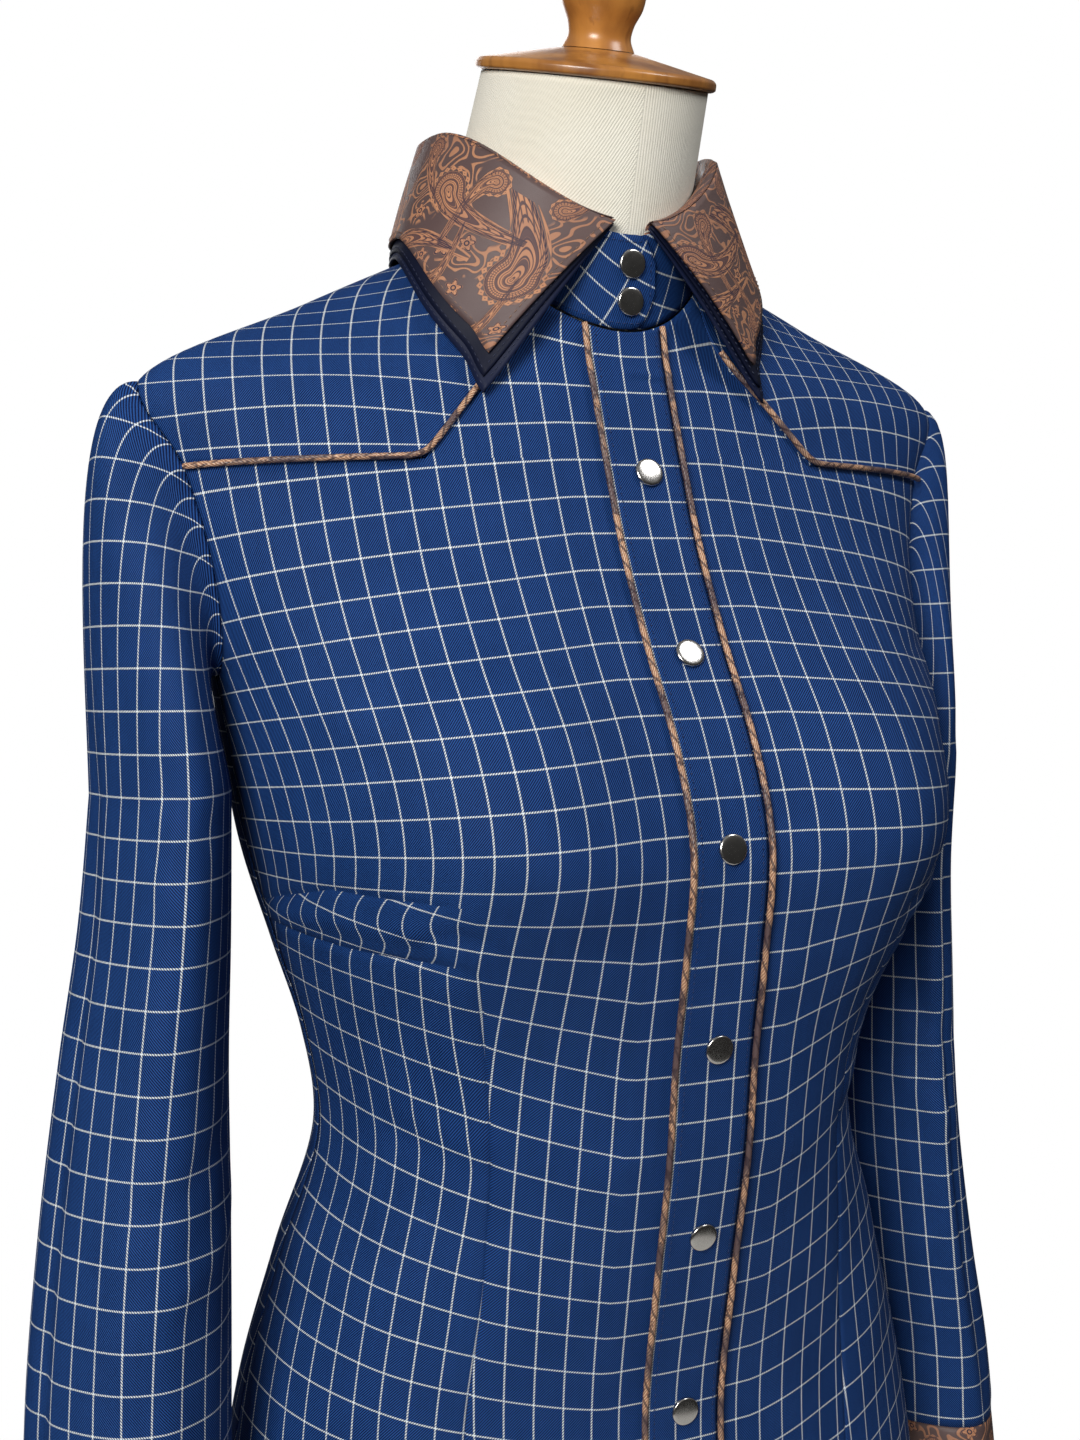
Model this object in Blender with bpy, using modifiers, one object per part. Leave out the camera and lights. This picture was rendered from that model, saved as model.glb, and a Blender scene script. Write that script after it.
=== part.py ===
"""A western snap shirt on a limbless dress form, in metres, +Z up, with the front facing -Y.

The shirt and the form share one body surface. It is a stack of rings, from the hem to the neck seam,
and body_point(angle, level, lift) gives a point on it: angle is 0 at the centre front and grows
towards the wearer's left (+X), level climbs from the hem to the neck, and lift moves the point out
along the surface's normal. Every panel is a patch of that surface with its own edges.
"""

import math

import bmesh
import bpy
import numpy as np
from mathutils import Matrix, Vector

MM = 0.001

# Driving sizes of the stand, in metres.
WAIST_HEIGHT = 480 * MM
BASE_RADIUS = 130 * MM
BASE_HEIGHT = 22 * MM
POLE_RADIUS = 15 * MM

# Driving sizes of the cloth, in metres.
CLOTH = 1.2 * MM
SEAM_GAP = 0.36 * MM
SHOULDER_GAP = 0.8 * MM
LAYER_GAP = 0.35 * MM
PLACKET_HALF_WIDTH = 15.6 * MM
PIPING_RADIUS = 1.3 * MM
STAND_HEIGHT = 39 * MM
SNAP_RADIUS = 5.9 * MM
SNAP_HEIGHT = 1.9 * MM
SNAP_SPACING = 79 * MM
CUFF_LENGTH = 62 * MM
OVERLAY_GAP = 0.85 * MM

LEFT = 1
RIGHT = -1

# Rings of the body surface, in millimetres from the waist line and the side plane. "level" orders them,
# "front" and "back" are the depths at the centre, "widest" is where the side lies (+ is towards the back),
# "bust" is how far the cloth over the bust points stands out, and "square" is a percentage.
RING_COLUMNS = (
    "level", "half_width", "front", "back", "widest", "z_front", "z_side", "z_back", "bust", "square",
)
RINGS = (
    (-235, 166, 84, 122, 24, -235, -235, -235, 0, 2),
    (-190, 166, 82, 122, 24, -190, -190, -190, 0, 2),
    (-140, 162, 79, 120, 24, -140, -140, -140, 0, 2),
    (-90, 153, 79, 112, 23, -90, -90, -90, 0, 2),
    (-35, 137, 92, 98, 20, -35, -35, -35, 0, 1),
    (22, 119, 107, 84, 15, 22, 22, 22, 0, 1),
    (62, 125, 114, 82, 10, 62, 62, 62, 4, 1),
    (100, 137, 122, 86, 5, 100, 100, 100, 13, 2),
    (142, 149, 128, 91, 1, 142, 142, 142, 21, 4),
    (180, 155, 117, 95, 0, 180, 180, 180, 18, 4),
    (215, 160, 99, 98, 0, 215, 215, 215, 9, 3),
    (255, 168, 81, 99, 0, 255, 255, 255, 2, 0),
    (294, 178, 68, 96, 0, 294, 294, 300, 0, -4),
    (330, 187, 61, 84, 0, 318, 328, 342, 0, -8),
    (372, 118, 57, 70, 0, 334, 362, 374, 0, -7),
    (412, 58, 55, 58, 0, 347, 389, 398, 0, 0),
)
BUST_X = 86
BUST_WIDTH = 47

LEVEL_HEM_SIDE = -168
LEVEL_HEM_FRONT = -205
LEVEL_ARMPIT = 212
LEVEL_YOKE = 294
LEVEL_SHOULDER = 330
LEVEL_NECK = 412
LEVEL_PANEL_TOP = 411.2
ARMHOLE_FRONT = 13
ARMHOLE_BACK = 21
YOKE_CORNER_X = 88
YOKE_NECK_X = 43
YOKE_CURVE = 1.9
YOKE_PIPING_INSET = 1.2


def column(name):
    index = RING_COLUMNS.index(name)
    return np.array([row[index] for row in RINGS], float)


RING_LEVELS = column("level")


def smooth_value(name, level):
    """The column's value at this level, on a smooth curve through the rings."""
    values = column(name)
    slopes = np.gradient(values, RING_LEVELS)
    level = min(max(level, RING_LEVELS[0]), RING_LEVELS[-1])
    low = min(int(np.searchsorted(RING_LEVELS, level, side="right")) - 1, len(values) - 2)
    span = RING_LEVELS[low + 1] - RING_LEVELS[low]
    t = (level - RING_LEVELS[low]) / span
    start = (2 * t**3 - 3 * t**2 + 1) * values[low] + (t**3 - 2 * t**2 + t) * span * slopes[low]
    end = (3 * t**2 - 2 * t**3) * values[low + 1] + (t**3 - t**2) * span * slopes[low + 1]
    return start + end


def across(angle, square):
    """The share of the half width at this angle: square lifts the ring's corners."""
    return (math.sin(angle) + square * math.sin(3 * angle)) / (1 - square)


def surface_point(degrees, level):
    """A point of the body surface, in metres."""
    angle = math.radians(degrees)
    square = smooth_value("square", level) / 100
    x = smooth_value("half_width", level) * across(angle, square)
    facing = math.cos(angle)
    widest = smooth_value("widest", level)
    depth = smooth_value("front", level) + widest if facing > 0 else smooth_value("back", level) - widest
    y = widest - depth * (facing - square * math.cos(3 * angle)) / (1 - square)
    z_middle = smooth_value("z_front" if facing > 0 else "z_back", level)
    z = z_middle * facing**2 + smooth_value("z_side", level) * math.sin(angle) ** 2
    if facing > 0:
        y -= smooth_value("bust", level) * math.exp(-(((abs(x) - BUST_X) / BUST_WIDTH) ** 2)) * facing**0.5
    return Vector((x * MM, y * MM, z * MM + WAIST_HEIGHT))


def surface_normal(degrees, level):
    sideways = surface_point(degrees + 1, level) - surface_point(degrees - 1, level)
    upward = surface_point(degrees, min(level + 2, LEVEL_NECK)) - surface_point(degrees, level - 2)
    return sideways.cross(upward).normalized()


def body_point(degrees, level, lift=0.0):
    return surface_point(degrees, level) + surface_normal(degrees, level) * lift


def angle_at(x, level):
    """The angle, in degrees, of the surface point this far (in metres) from the centre plane."""
    share = max(-1.0, min(1.0, x / MM / smooth_value("half_width", level)))
    square = smooth_value("square", level) / 100
    low, high = -90.0, 90.0
    for _ in range(30):
        middle = (low + high) / 2
        if across(math.radians(middle), square) < share:
            low = middle
        else:
            high = middle
    return low


def armhole_angle(level, reach):
    """How far the armhole's edge lies from the side meridian at this level, in degrees."""
    share = (level - LEVEL_ARMPIT) / (LEVEL_SHOULDER - LEVEL_ARMPIT)
    share = min(max(share, 0.0), 1.0)
    return reach * 2 * math.sqrt(share * (1 - share))


def side_edge(level, reach, gap=SEAM_GAP):
    """Degrees from the side meridian to a panel's outer edge: the side seam, then the armhole."""
    depth = min(smooth_value("front", level), smooth_value("back", level) - smooth_value("widest", level))
    half_gap = math.degrees(gap / 2 / (depth * MM))
    return max(armhole_angle(level, reach) + half_gap, half_gap)


def hem_level(share):
    """The hem's level, from the centre (0) to the side seam (1)."""
    return LEVEL_HEM_FRONT + (LEVEL_HEM_SIDE - LEVEL_HEM_FRONT) * math.sin(share * math.pi / 2) ** 2


def eased(count, start, end, bias=0.0):
    """count + 1 values from start to end, closer together at the end where bias is positive."""
    shares = np.linspace(0, 1, count + 1)
    shares = (1 - bias) * shares + bias * np.sin(shares * math.pi / 2)
    return start + (end - start) * shares


# Objects and materials.


def material(name, colour, roughness, metallic=0.0):
    made = bpy.data.materials.get(name)
    if made is None:
        made = bpy.data.materials.new(name)
        made.use_nodes = True
        shader = made.node_tree.nodes["Principled BSDF"]
        shader.inputs["Base Color"].default_value = (*colour, 1)
        shader.inputs["Roughness"].default_value = roughness
        shader.inputs["Metallic"].default_value = metallic
        made.diffuse_color = (*colour, 1)
    return made


def blue_check():
    return material("blue_check", (0.012, 0.05, 0.17), 0.55)


def paisley():
    return material("copper_paisley", (0.19, 0.09, 0.06), 0.42)


def navy_satin():
    return material("navy_satin", (0.004, 0.006, 0.022), 0.35)


def snap_metal():
    return material("snap_metal", (0.62, 0.6, 0.57), 0.2, 1.0)


def jersey():
    return material("cream_jersey", (0.8, 0.77, 0.68), 0.9)


def wood():
    return material("brown_wood", (0.3, 0.11, 0.035), 0.3)


def keep(name, mesh, slot):
    """The mesh as a smooth-shaded object of the shirt's collection."""
    made = bpy.data.objects.new(name, mesh)
    mesh.materials.append(slot)
    COLLECTION.objects.link(made)
    mesh.shade_smooth()
    return made


def grid_mesh(name, rows, wrap=False, flip=False):
    """A mesh of quads through rows of points. With wrap, each row closes on itself."""
    mesh = bmesh.new()
    made = [[mesh.verts.new(point) for point in row] for row in rows]
    for lower, upper in zip(made, made[1:]):
        count = min(len(lower), len(upper))
        for i in range(count if wrap else count - 1):
            j = (i + 1) % count
            corners = (lower[i], lower[j], upper[j], upper[i])
            mesh.faces.new(corners[::-1] if flip else corners)
    data = bpy.data.meshes.new(name)
    mesh.to_mesh(data)
    mesh.free()
    return data


def cloth(name, rows, slot, wrap=False, flip=False):
    """A cloth wall: the grid with its thickness shared between the two faces."""
    made = keep(name, grid_mesh(name, rows, wrap, flip), slot)
    wall = made.modifiers.new("wall", "SOLIDIFY")
    wall.thickness = CLOTH
    wall.offset = 0.0
    wall.use_quality_normals = True
    return made


def turned(name, profile, slot, segments, place=None):
    """A turned solid. The profile is (radius, height) from the bottom's centre to the top's."""
    mesh = bmesh.new()
    bottom = mesh.verts.new((0, 0, profile[0][1]))
    rings = []
    for radius, height in profile:
        turns = [2 * math.pi * k / segments for k in range(segments)]
        rings.append([mesh.verts.new((radius * math.cos(a), radius * math.sin(a), height)) for a in turns])
    top = mesh.verts.new((0, 0, profile[-1][1]))
    for k in range(segments):
        j = (k + 1) % segments
        mesh.faces.new((bottom, rings[0][j], rings[0][k]))
        mesh.faces.new((top, rings[-1][k], rings[-1][j]))
        for lower, upper in zip(rings, rings[1:]):
            mesh.faces.new((lower[k], lower[j], upper[j], upper[k]))
    data = bpy.data.meshes.new(name)
    mesh.to_mesh(data)
    mesh.free()
    made = keep(name, data, slot)
    data.set_sharp_from_angle(angle=math.radians(40))
    if place is not None:
        made.matrix_world = place
    return made


def cord(name, points, radius, slot):
    """A round piping along the points."""
    curve = bpy.data.curves.new(name, "CURVE")
    curve.dimensions = "3D"
    curve.bevel_depth = radius
    curve.bevel_resolution = 1
    curve.use_fill_caps = True
    spline = curve.splines.new("POLY")
    spline.points.add(len(points) - 1)
    for target, point in zip(spline.points, points):
        target.co = (*point, 1)
    curve.materials.append(slot)
    made = bpy.data.objects.new(name, curve)
    COLLECTION.objects.link(made)
    return made


# Shirt body.


FRONT_STEPS = [k / 18 for k in range(19)]
NECK_LEVELS = (297, 302, 309, 318, 330, 350, 372, 393, LEVEL_PANEL_TOP)
FRONT_OUTER_SHARES = (0.45, 0.6, 0.75, 0.88, 1.0)


def yoke_outer_angle():
    """Degrees from the centre front to the armhole, along the yoke's seam."""
    return 90 - side_edge(LEVEL_YOKE, ARMHOLE_FRONT)


def yoke_x(level):
    """How far the front yoke's seam lies from the centre, in metres, as it climbs to the neck."""
    share = min(max((level - LEVEL_YOKE) / (LEVEL_NECK - LEVEL_YOKE), 0.0), 1.0)
    return (YOKE_NECK_X + (YOKE_CORNER_X - YOKE_NECK_X) * (1 - share) ** YOKE_CURVE) * MM


def front_panel(name, side):
    """One front below its yoke, and up to the neck inside it. The two fronts meet under the placket."""
    top = LEVEL_YOKE - SEAM_GAP / MM
    inner_xs = np.linspace(SEAM_GAP / 2, yoke_x(LEVEL_YOKE) - SEAM_GAP / 2, 6)
    corner = angle_at(inner_xs[-1], LEVEL_YOKE) / yoke_outer_angle()
    shares = [angle_at(x, LEVEL_YOKE) / yoke_outer_angle() for x in inner_xs]
    shares += [share for share in FRONT_OUTER_SHARES if share > corner + 0.03]
    rows = []
    for step in FRONT_STEPS:
        row = []
        for share in shares:
            level = hem_level(share) + (top - hem_level(share)) * step
            inner = angle_at(SEAM_GAP / 2, level)
            outer = 90 - side_edge(level, ARMHOLE_FRONT)
            row.append(body_point(side * max(inner, outer * share), level))
        rows.append(row)
    for level in NECK_LEVELS:
        scale = (yoke_x(level) - SEAM_GAP / 2) / inner_xs[-1]
        xs = [max(x * scale, SEAM_GAP / 2) for x in inner_xs]
        rows.append([body_point(side * angle_at(x, level), level) for x in xs])
    return cloth(name, rows, blue_check(), flip=side == RIGHT)


def front_yoke(name, side):
    rows = []
    for level in (LEVEL_YOKE + SEAM_GAP / MM,) + NECK_LEVELS:
        inner = angle_at(yoke_x(level) + SEAM_GAP / 2, level)
        outer = 90 - side_edge(level, ARMHOLE_FRONT, SHOULDER_GAP)
        rows.append([body_point(side * angle, level) for angle in np.linspace(inner, outer, 8)])
    return cloth(name, rows, blue_check(), flip=side == RIGHT)


def back_panel():
    rows = []
    for step in eased(15, 0, 1):
        row = []
        for share in np.linspace(-1, 1, 17):
            low = hem_level(abs(share))
            level = low + (LEVEL_YOKE - SEAM_GAP / MM - low) * step
            outer = 90 - side_edge(level, ARMHOLE_BACK)
            row.append(body_point(180 + share * outer, level))
        rows.append(row)
    return cloth("back", rows, blue_check())


def back_yoke():
    gap = SEAM_GAP / MM
    rows = []
    for level in (LEVEL_YOKE + gap, 303, 315, LEVEL_SHOULDER - 0.5, 346, 368, 390, LEVEL_PANEL_TOP):
        outer = 90 - side_edge(level, ARMHOLE_BACK, SHOULDER_GAP)
        rows.append([body_point(180 + share * outer, level) for share in np.linspace(-1, 1, 15)])
    return cloth("yoke_back", rows, blue_check())


PLACKET_LIFT = CLOTH + OVERLAY_GAP
PLACKET_TOP = 409
FRONT_RISE = LEVEL_YOKE - SEAM_GAP / MM - LEVEL_HEM_FRONT
PLACKET_LEVELS = [LEVEL_HEM_FRONT + FRONT_RISE * step for step in FRONT_STEPS]
PLACKET_LEVELS += [*NECK_LEVELS[2:-1], PLACKET_TOP]


def placket():
    """The strip over the meeting fronts, one cloth higher."""
    rows = []
    for level in PLACKET_LEVELS:
        across_strip = np.linspace(-PLACKET_HALF_WIDTH, PLACKET_HALF_WIDTH, 4)
        rows.append([body_point(angle_at(x, level), level, PLACKET_LIFT) for x in across_strip])
    return cloth("placket", rows, blue_check())


PIPING_LIFT = CLOTH / 2 + OVERLAY_GAP + PIPING_RADIUS


def placket_piping(name, side):
    x = side * (PLACKET_HALF_WIDTH + LAYER_GAP + PIPING_RADIUS)
    points = [body_point(angle_at(x, level), level, PIPING_LIFT) for level in PLACKET_LEVELS]
    return cord(name, points, PIPING_RADIUS, paisley())


def yoke_piping(name, side):
    """The piping over the front yoke's seam, from the armhole to the neck."""
    outer = yoke_outer_angle() - YOKE_PIPING_INSET
    corner = angle_at(yoke_x(LEVEL_YOKE), LEVEL_YOKE)
    points = [body_point(side * a, LEVEL_YOKE, PIPING_LIFT) for a in np.linspace(outer, corner, 6)]
    for level in NECK_LEVELS[:-3]:
        points.append(body_point(side * angle_at(yoke_x(level), level), level, PIPING_LIFT))
    return cord(name, points, PIPING_RADIUS, paisley())


def back_piping():
    outer = 90 - side_edge(LEVEL_YOKE, ARMHOLE_BACK) - YOKE_PIPING_INSET
    points = [body_point(180 + s * outer, LEVEL_YOKE, PIPING_LIFT) for s in np.linspace(-1, 1, 20)]
    return cord("piping_yoke_back", points, PIPING_RADIUS, paisley())


# Collar.

STAND_LEAN_FRONT = 0.1
STAND_LEAN_BACK = -0.06
STAND_RISE_BACK = 0.08
# The overlapping tab's rounded end: for each angle, the shares of the height where it starts and stops.
TAB_END = {13: (0.22, 0.72), 11.5: (0.08, 0.9)}
STAND_OVERLAP_LIFT = CLOTH + 0.5 * MM
STAND_SEAM_GAP = 0.8 * MM
OVERLAP_START = -26
OVERLAP_RUN = 22
NECK_AXIS = Vector((0, -0.26, 0.966))


def stand_point(turn, height, lift=0.0):
    """A point of the collar stand. turn is the angle round the neck and height runs up from its seam."""
    seam = surface_point(turn, LEVEL_NECK)
    outward = Vector((seam.x, seam.y, 0)).normalized()
    behind = (1 - math.cos(math.radians(turn))) / 2
    lean = STAND_LEAN_FRONT + (STAND_LEAN_BACK - STAND_LEAN_FRONT) * min(1.0, 1.6 * behind)
    rise = height * (1 + STAND_RISE_BACK * behind)
    return seam + NECK_AXIS * rise + outward * (lift - lean * height)


def stand_lift(turn):
    """The end on the wearer's right rides over the other one."""
    return STAND_OVERLAP_LIFT * min(max((turn - OVERLAP_START) / OVERLAP_RUN, 0.0), 1.0)


def collar_stand():
    """One strip round the neck. turn runs backwards from the overlapping tab."""
    rows = []
    turns = [*TAB_END, 9, 4, -4, -14, OVERLAP_START]
    turns += [*np.linspace(-45, -315, 15), -334, -347, -354, -358]
    height = STAND_HEIGHT - STAND_SEAM_GAP
    for turn in turns:
        low, high = TAB_END.get(turn, (0.0, 1.0))
        stations = [STAND_SEAM_GAP + height * (low + (high - low) * k / 3) for k in range(4)]
        rows.append([stand_point(turn, h, stand_lift(turn)) for h in stations])
    return cloth("collar_stand", rows, blue_check())


# Outer edge of the collar, from the back (0) to a point (1): angle round the body, its level, its lift.
LEAF_COLUMNS = ("share", "fold_turn", "edge_turn", "edge_level", "edge_lift", "roll")
LEAF = (
    (0.00, 180, 180, 398, 4.5, 2.4),
    (0.20, 146, 148, 400, 4.5, 1.4),
    (0.40, 112, 114, 402, 4.7, 0.4),
    (0.58, 80, 82, 400, 4.8, 0.1),
    (0.74, 50, 57, 389, 4.9, 0.3),
    (0.88, 26, 39, 371, 4.7, 1.2),
    (1.00, 8, 29, 351, 4.5, 2.0),
)
LEAF_FRONT = 0.8
LEAF_BEFORE_END = 0.93


def leaf_value(name, share):
    shares = [row[0] for row in LEAF]
    values = [row[LEAF_COLUMNS.index(name)] for row in LEAF]
    slopes = np.gradient(values, shares)
    low = min(max(int(np.searchsorted(shares, share, side="right")) - 1, 0), len(shares) - 2)
    span = shares[low + 1] - shares[low]
    t = (share - shares[low]) / span
    start = (2 * t**3 - 3 * t**2 + 1) * values[low] + (t**3 - 2 * t**2 + t) * span * slopes[low]
    end = (3 * t**2 - 2 * t**3) * values[low + 1] + (t**3 - t**2) * span * slopes[low + 1]
    return start + end


def leaf_point(side, share, down, layer):
    """A point of the collar leaf: down is 0 at the fold and 1 at the edge, layer lifts it off the stand."""
    share = min(share, 1.0)
    top = STAND_HEIGHT + STAND_SEAM_GAP + layer / 2
    fold = stand_point(side * leaf_value("fold_turn", share), top, layer)
    edge_lift = leaf_value("edge_lift", share) * MM + layer
    edge = body_point(side * leaf_value("edge_turn", share), leaf_value("edge_level", share), edge_lift)
    outward = Vector((fold.x + edge.x, fold.y + edge.y, 0)).normalized() + Vector((0, 0, 0.5))
    roll = leaf_value("roll", share) * MM * math.sin(math.pi * min(down, 1.0))
    return fold.lerp(edge, down) + outward * roll


def collar(name, slot, layer, reach, end_reach):
    """One layer of the folded collar, from point to point round the back of the neck.

    reach is how far it runs below the leaf's edge, as a share, and end_reach how far past its front ends.
    """
    downs = [0, 0.12, 0.35, 0.62, 0.85, 1]
    halves = [1.0, LEAF_BEFORE_END, 0.84, 0.72, 0.58, 0.44, 0.3, 0.15]
    stations = [(RIGHT, s) for s in halves] + [(RIGHT, 0.0)] + [(LEFT, s) for s in reversed(halves)]
    rows = []
    for side, share in stations:
        row = []
        for down in downs:
            point = leaf_point(side, share, down * (1 + reach), layer)
            if share > LEAF_FRONT:
                forward = leaf_point(side, 1.0, down, layer) - leaf_point(side, LEAF_BEFORE_END, down, layer)
                grown = down * (share - LEAF_FRONT) / (1 - LEAF_FRONT)
                point += forward.normalized() * end_reach * grown
            row.append(point)
        rows.append(row)
    return cloth(name, rows, slot)


# Sleeves.

# Rings of a sleeve, in millimetres from the waist and the centre plane, below the cap.
SLEEVE_COLUMNS = ("z", "x", "y", "half_x", "half_y")
SLEEVES = {
    RIGHT: (
        (165, 183, 8, 25, 57),
        (110, 187, 8, 27, 56),
        (60, 193, 6, 30, 54),
        (0, 199, 3, 34, 52),
        (-75, 205, 0, 37, 49),
        (-130, 208, -3, 37, 46),
        (-167, 209, -6, 35, 43),
    ),
    LEFT: (
        (165, 177, 24, 18, 55),
        (110, 175, 29, 20, 54),
        (60, 174, 29, 23, 53),
        (0, 176, 30, 25, 51),
        (-75, 186, 33, 27, 48),
        (-130, 197, 36, 28, 45),
        (-167, 201, 35, 29, 42),
    ),
}
SLEEVE_TURNS = 20
SLEEVE_SEAM_GAP = 1.4 * MM
CAP_FULLNESS = {RIGHT: 1.05, LEFT: 0.8}
CAP_SHARES = (0.0, 0.07, 0.16, 0.3, 0.46, 0.63, 0.81)

# How the cap leaves the armhole and comes down on the sleeve, at the armpit and how much more on top.
LEAVE_LOW = 34 * MM
LEAVE_MORE = 42 * MM
DROP_LOW = 30 * MM
DROP_MORE = 190 * MM


def sleeve_ring(row, side, lift=0.0):
    """One ring of the sleeve, from the outer side round by the front."""
    z, x, y, half_x, half_y = (value * MM for value in row)
    ring = []
    for k in range(SLEEVE_TURNS):
        turn = 2 * math.pi * k / SLEEVE_TURNS
        out = (half_x + lift) * (math.cos(turn) + 0.05 * math.cos(3 * turn))
        front = (half_y + lift) * (math.sin(turn) - 0.02 * math.sin(3 * turn))
        ring.append(Vector((side * (x + out), y - front, z + WAIST_HEIGHT)))
    return ring


def armhole_loop(side):
    """Points of the armhole, from the shoulder round by the front, with the cloth's way out of it."""
    points = []
    for k in range(SLEEVE_TURNS):
        turn = 2 * math.pi * k / SLEEVE_TURNS
        middle = (LEVEL_ARMPIT + LEVEL_SHOULDER) / 2
        level = middle + (LEVEL_SHOULDER - LEVEL_ARMPIT) / 2 * math.cos(turn)
        reach = ARMHOLE_FRONT if math.sin(turn) > 0 else ARMHOLE_BACK
        angle = 90 - reach * math.sin(turn)
        points.append((side * angle, level))
    return points


def sleeve(name, side):
    """The cap leaves the armhole outward and bends down into the tube."""
    loop = armhole_loop(side)
    first = sleeve_ring(SLEEVES[side][0], side)
    rows = []
    for t in CAP_SHARES:
        row = []
        for k, (angle, level) in enumerate(loop):
            turn = 2 * math.pi * k / SLEEVE_TURNS
            start = body_point(angle, level)
            outward = Vector((side, 0, 0))
            top_share = (1 + math.cos(turn)) / 2
            start = start + outward * SLEEVE_SEAM_GAP
            leave = outward + Vector((0, 0, 0.25 - 0.2 * top_share))
            leave *= (LEAVE_LOW + LEAVE_MORE * top_share) * CAP_FULLNESS[side]
            down = Vector((0, 0, -1)) * (DROP_LOW + DROP_MORE * top_share)
            point = start * (2 * t**3 - 3 * t**2 + 1) + leave * (t**3 - 2 * t**2 + t)
            point += first[k] * (3 * t**2 - 2 * t**3) + down * (t**3 - t**2)
            row.append(point)
        rows.append(row)
    rows += [sleeve_ring(row, side) for row in SLEEVES[side]]
    return cloth(name, rows[::-1], blue_check(), wrap=True, flip=side == RIGHT)


# What a cuff's last ring takes off the sleeve's, in the sleeve table's columns.
CUFF_DROP = np.array((CUFF_LENGTH / MM, -2, 3, 0, 1))


def cuff(name, side):
    """The cuff goes on below the sleeve, snug round its end."""
    end = SLEEVES[side][-1]
    below = np.array(end, float) - np.array((SEAM_GAP / MM, 0, 0, 0, 0))
    rows = [sleeve_ring(below - CUFF_DROP * share, side) for share in (0.0, 0.33, 0.66, 1.0)]
    return cloth(name, rows[::-1], paisley(), wrap=True, flip=side == RIGHT)


# Snaps.


def facing(point, normal):
    return Matrix.Translation(point) @ normal.to_track_quat("Z", "Y").to_matrix().to_4x4()


def snap(name, point, normal):
    profile = (
        (SNAP_RADIUS * 0.94, 0.0),
        (SNAP_RADIUS, SNAP_HEIGHT * 0.3),
        (SNAP_RADIUS * 0.95, SNAP_HEIGHT * 0.8),
        (SNAP_RADIUS * 0.8, SNAP_HEIGHT),
    )
    place = facing(point + normal * (CLOTH / 2 + LAYER_GAP), normal)
    return turned(name, profile, snap_metal(), 12, place)


SNAP_FIRST = 61 * MM
SNAP_COUNT = 7


def placket_snaps():
    """Snaps down the centre front, evenly spaced along the placket's facets from its top."""
    line = [body_point(0, level, PLACKET_LIFT) for level in reversed(PLACKET_LEVELS)]
    walked = 0.0
    wanted = SNAP_FIRST
    made = 0
    for above, below in zip(line, line[1:]):
        run = (below - above).length
        while walked + run >= wanted and made < SNAP_COUNT:
            made += 1
            normal = (below - above).cross(Vector((1, 0, 0))).normalized()
            point = above.lerp(below, (wanted - walked) / run)
            snap(f"snap_front_{made}", point + normal * LAYER_GAP, normal)
            wanted += SNAP_SPACING
        walked += run


def stand_snaps():
    for number, height in ((1, 0.31), (2, 0.7)):
        base = stand_point(1.0, STAND_HEIGHT * height, stand_lift(1.0))
        above = stand_point(1.0, STAND_HEIGHT * height + 1 * MM, stand_lift(1.0))
        beside = stand_point(3.0, STAND_HEIGHT * height, stand_lift(3.0))
        normal = (beside - base).cross(above - base).normalized()
        snap(f"snap_stand_{number}", base, normal)


def cuff_snaps(side, word):
    """Two snaps on the outer back of each cuff."""
    end = np.array(SLEEVES[side][-1], float)
    index = SLEEVE_TURNS - 2
    for number, share in ((1, 0.27), (2, 0.73)):
        row = end - CUFF_DROP * share
        ring = sleeve_ring(row, side)
        along = (ring[index + 1] - ring[index - 1]).normalized()
        normal = along.cross(Vector((0, 0, 1))).normalized()
        if normal.x * side < 0:
            normal = -normal
        snap(f"snap_cuff_{word}_{number}", ring[index], normal)


# Dress form and its stand.

EASE = 5 * MM
FORM_BOTTOM = -225
CAP_CENTRE = Vector((0, -35 * MM, 454 * MM + WAIST_HEIGHT))
CAP_LEAN = math.radians(18)
CAP_RADIUS = 50.5 * MM
NECK_RADIUS = 47.5 * MM
PART_GAP = 0.35 * MM
FORM_LEVELS = (
    FORM_BOTTOM, -190, -140, -100, -65, -30, 0, 30, 60, 85, 110, 142, 180, 215, 255,
    294, 320, 336, 355, 378, 398,
)


def form_torso():
    """The padded body and neck, inside the shirt's cloth by the ease."""
    turns = np.linspace(0, 360, 25)[:-1]
    rows = []
    for level in FORM_LEVELS:
        rows.append([body_point(turn, level, -EASE) for turn in turns])
    lean = Matrix.Rotation(CAP_LEAN, 4, "X")
    top = []
    for turn in turns:
        angle = math.radians(turn)
        spoke = Vector((math.sin(angle), -math.cos(angle), 0)) * NECK_RADIUS
        top.append(CAP_CENTRE + lean @ spoke)
    rows.append([stand_point(turn, -3 * MM, -7.5 * MM) for turn in turns])
    low = [stand_point(turn, 12 * MM, -6 * MM) for turn in turns]
    rows.append(low)
    for share in (0.35, 0.7, 1.0):
        rows.append([a.lerp(b, share) for a, b in zip(low, top)])
    data = grid_mesh("dress_form", rows, wrap=True)
    mesh = bmesh.new()
    mesh.from_mesh(data)
    bmesh.ops.holes_fill(mesh, edges=[e for e in mesh.edges if e.is_boundary])
    bmesh.ops.recalc_face_normals(mesh, faces=mesh.faces)
    mesh.to_mesh(data)
    mesh.free()
    return keep("dress_form", data, jersey())


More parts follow.
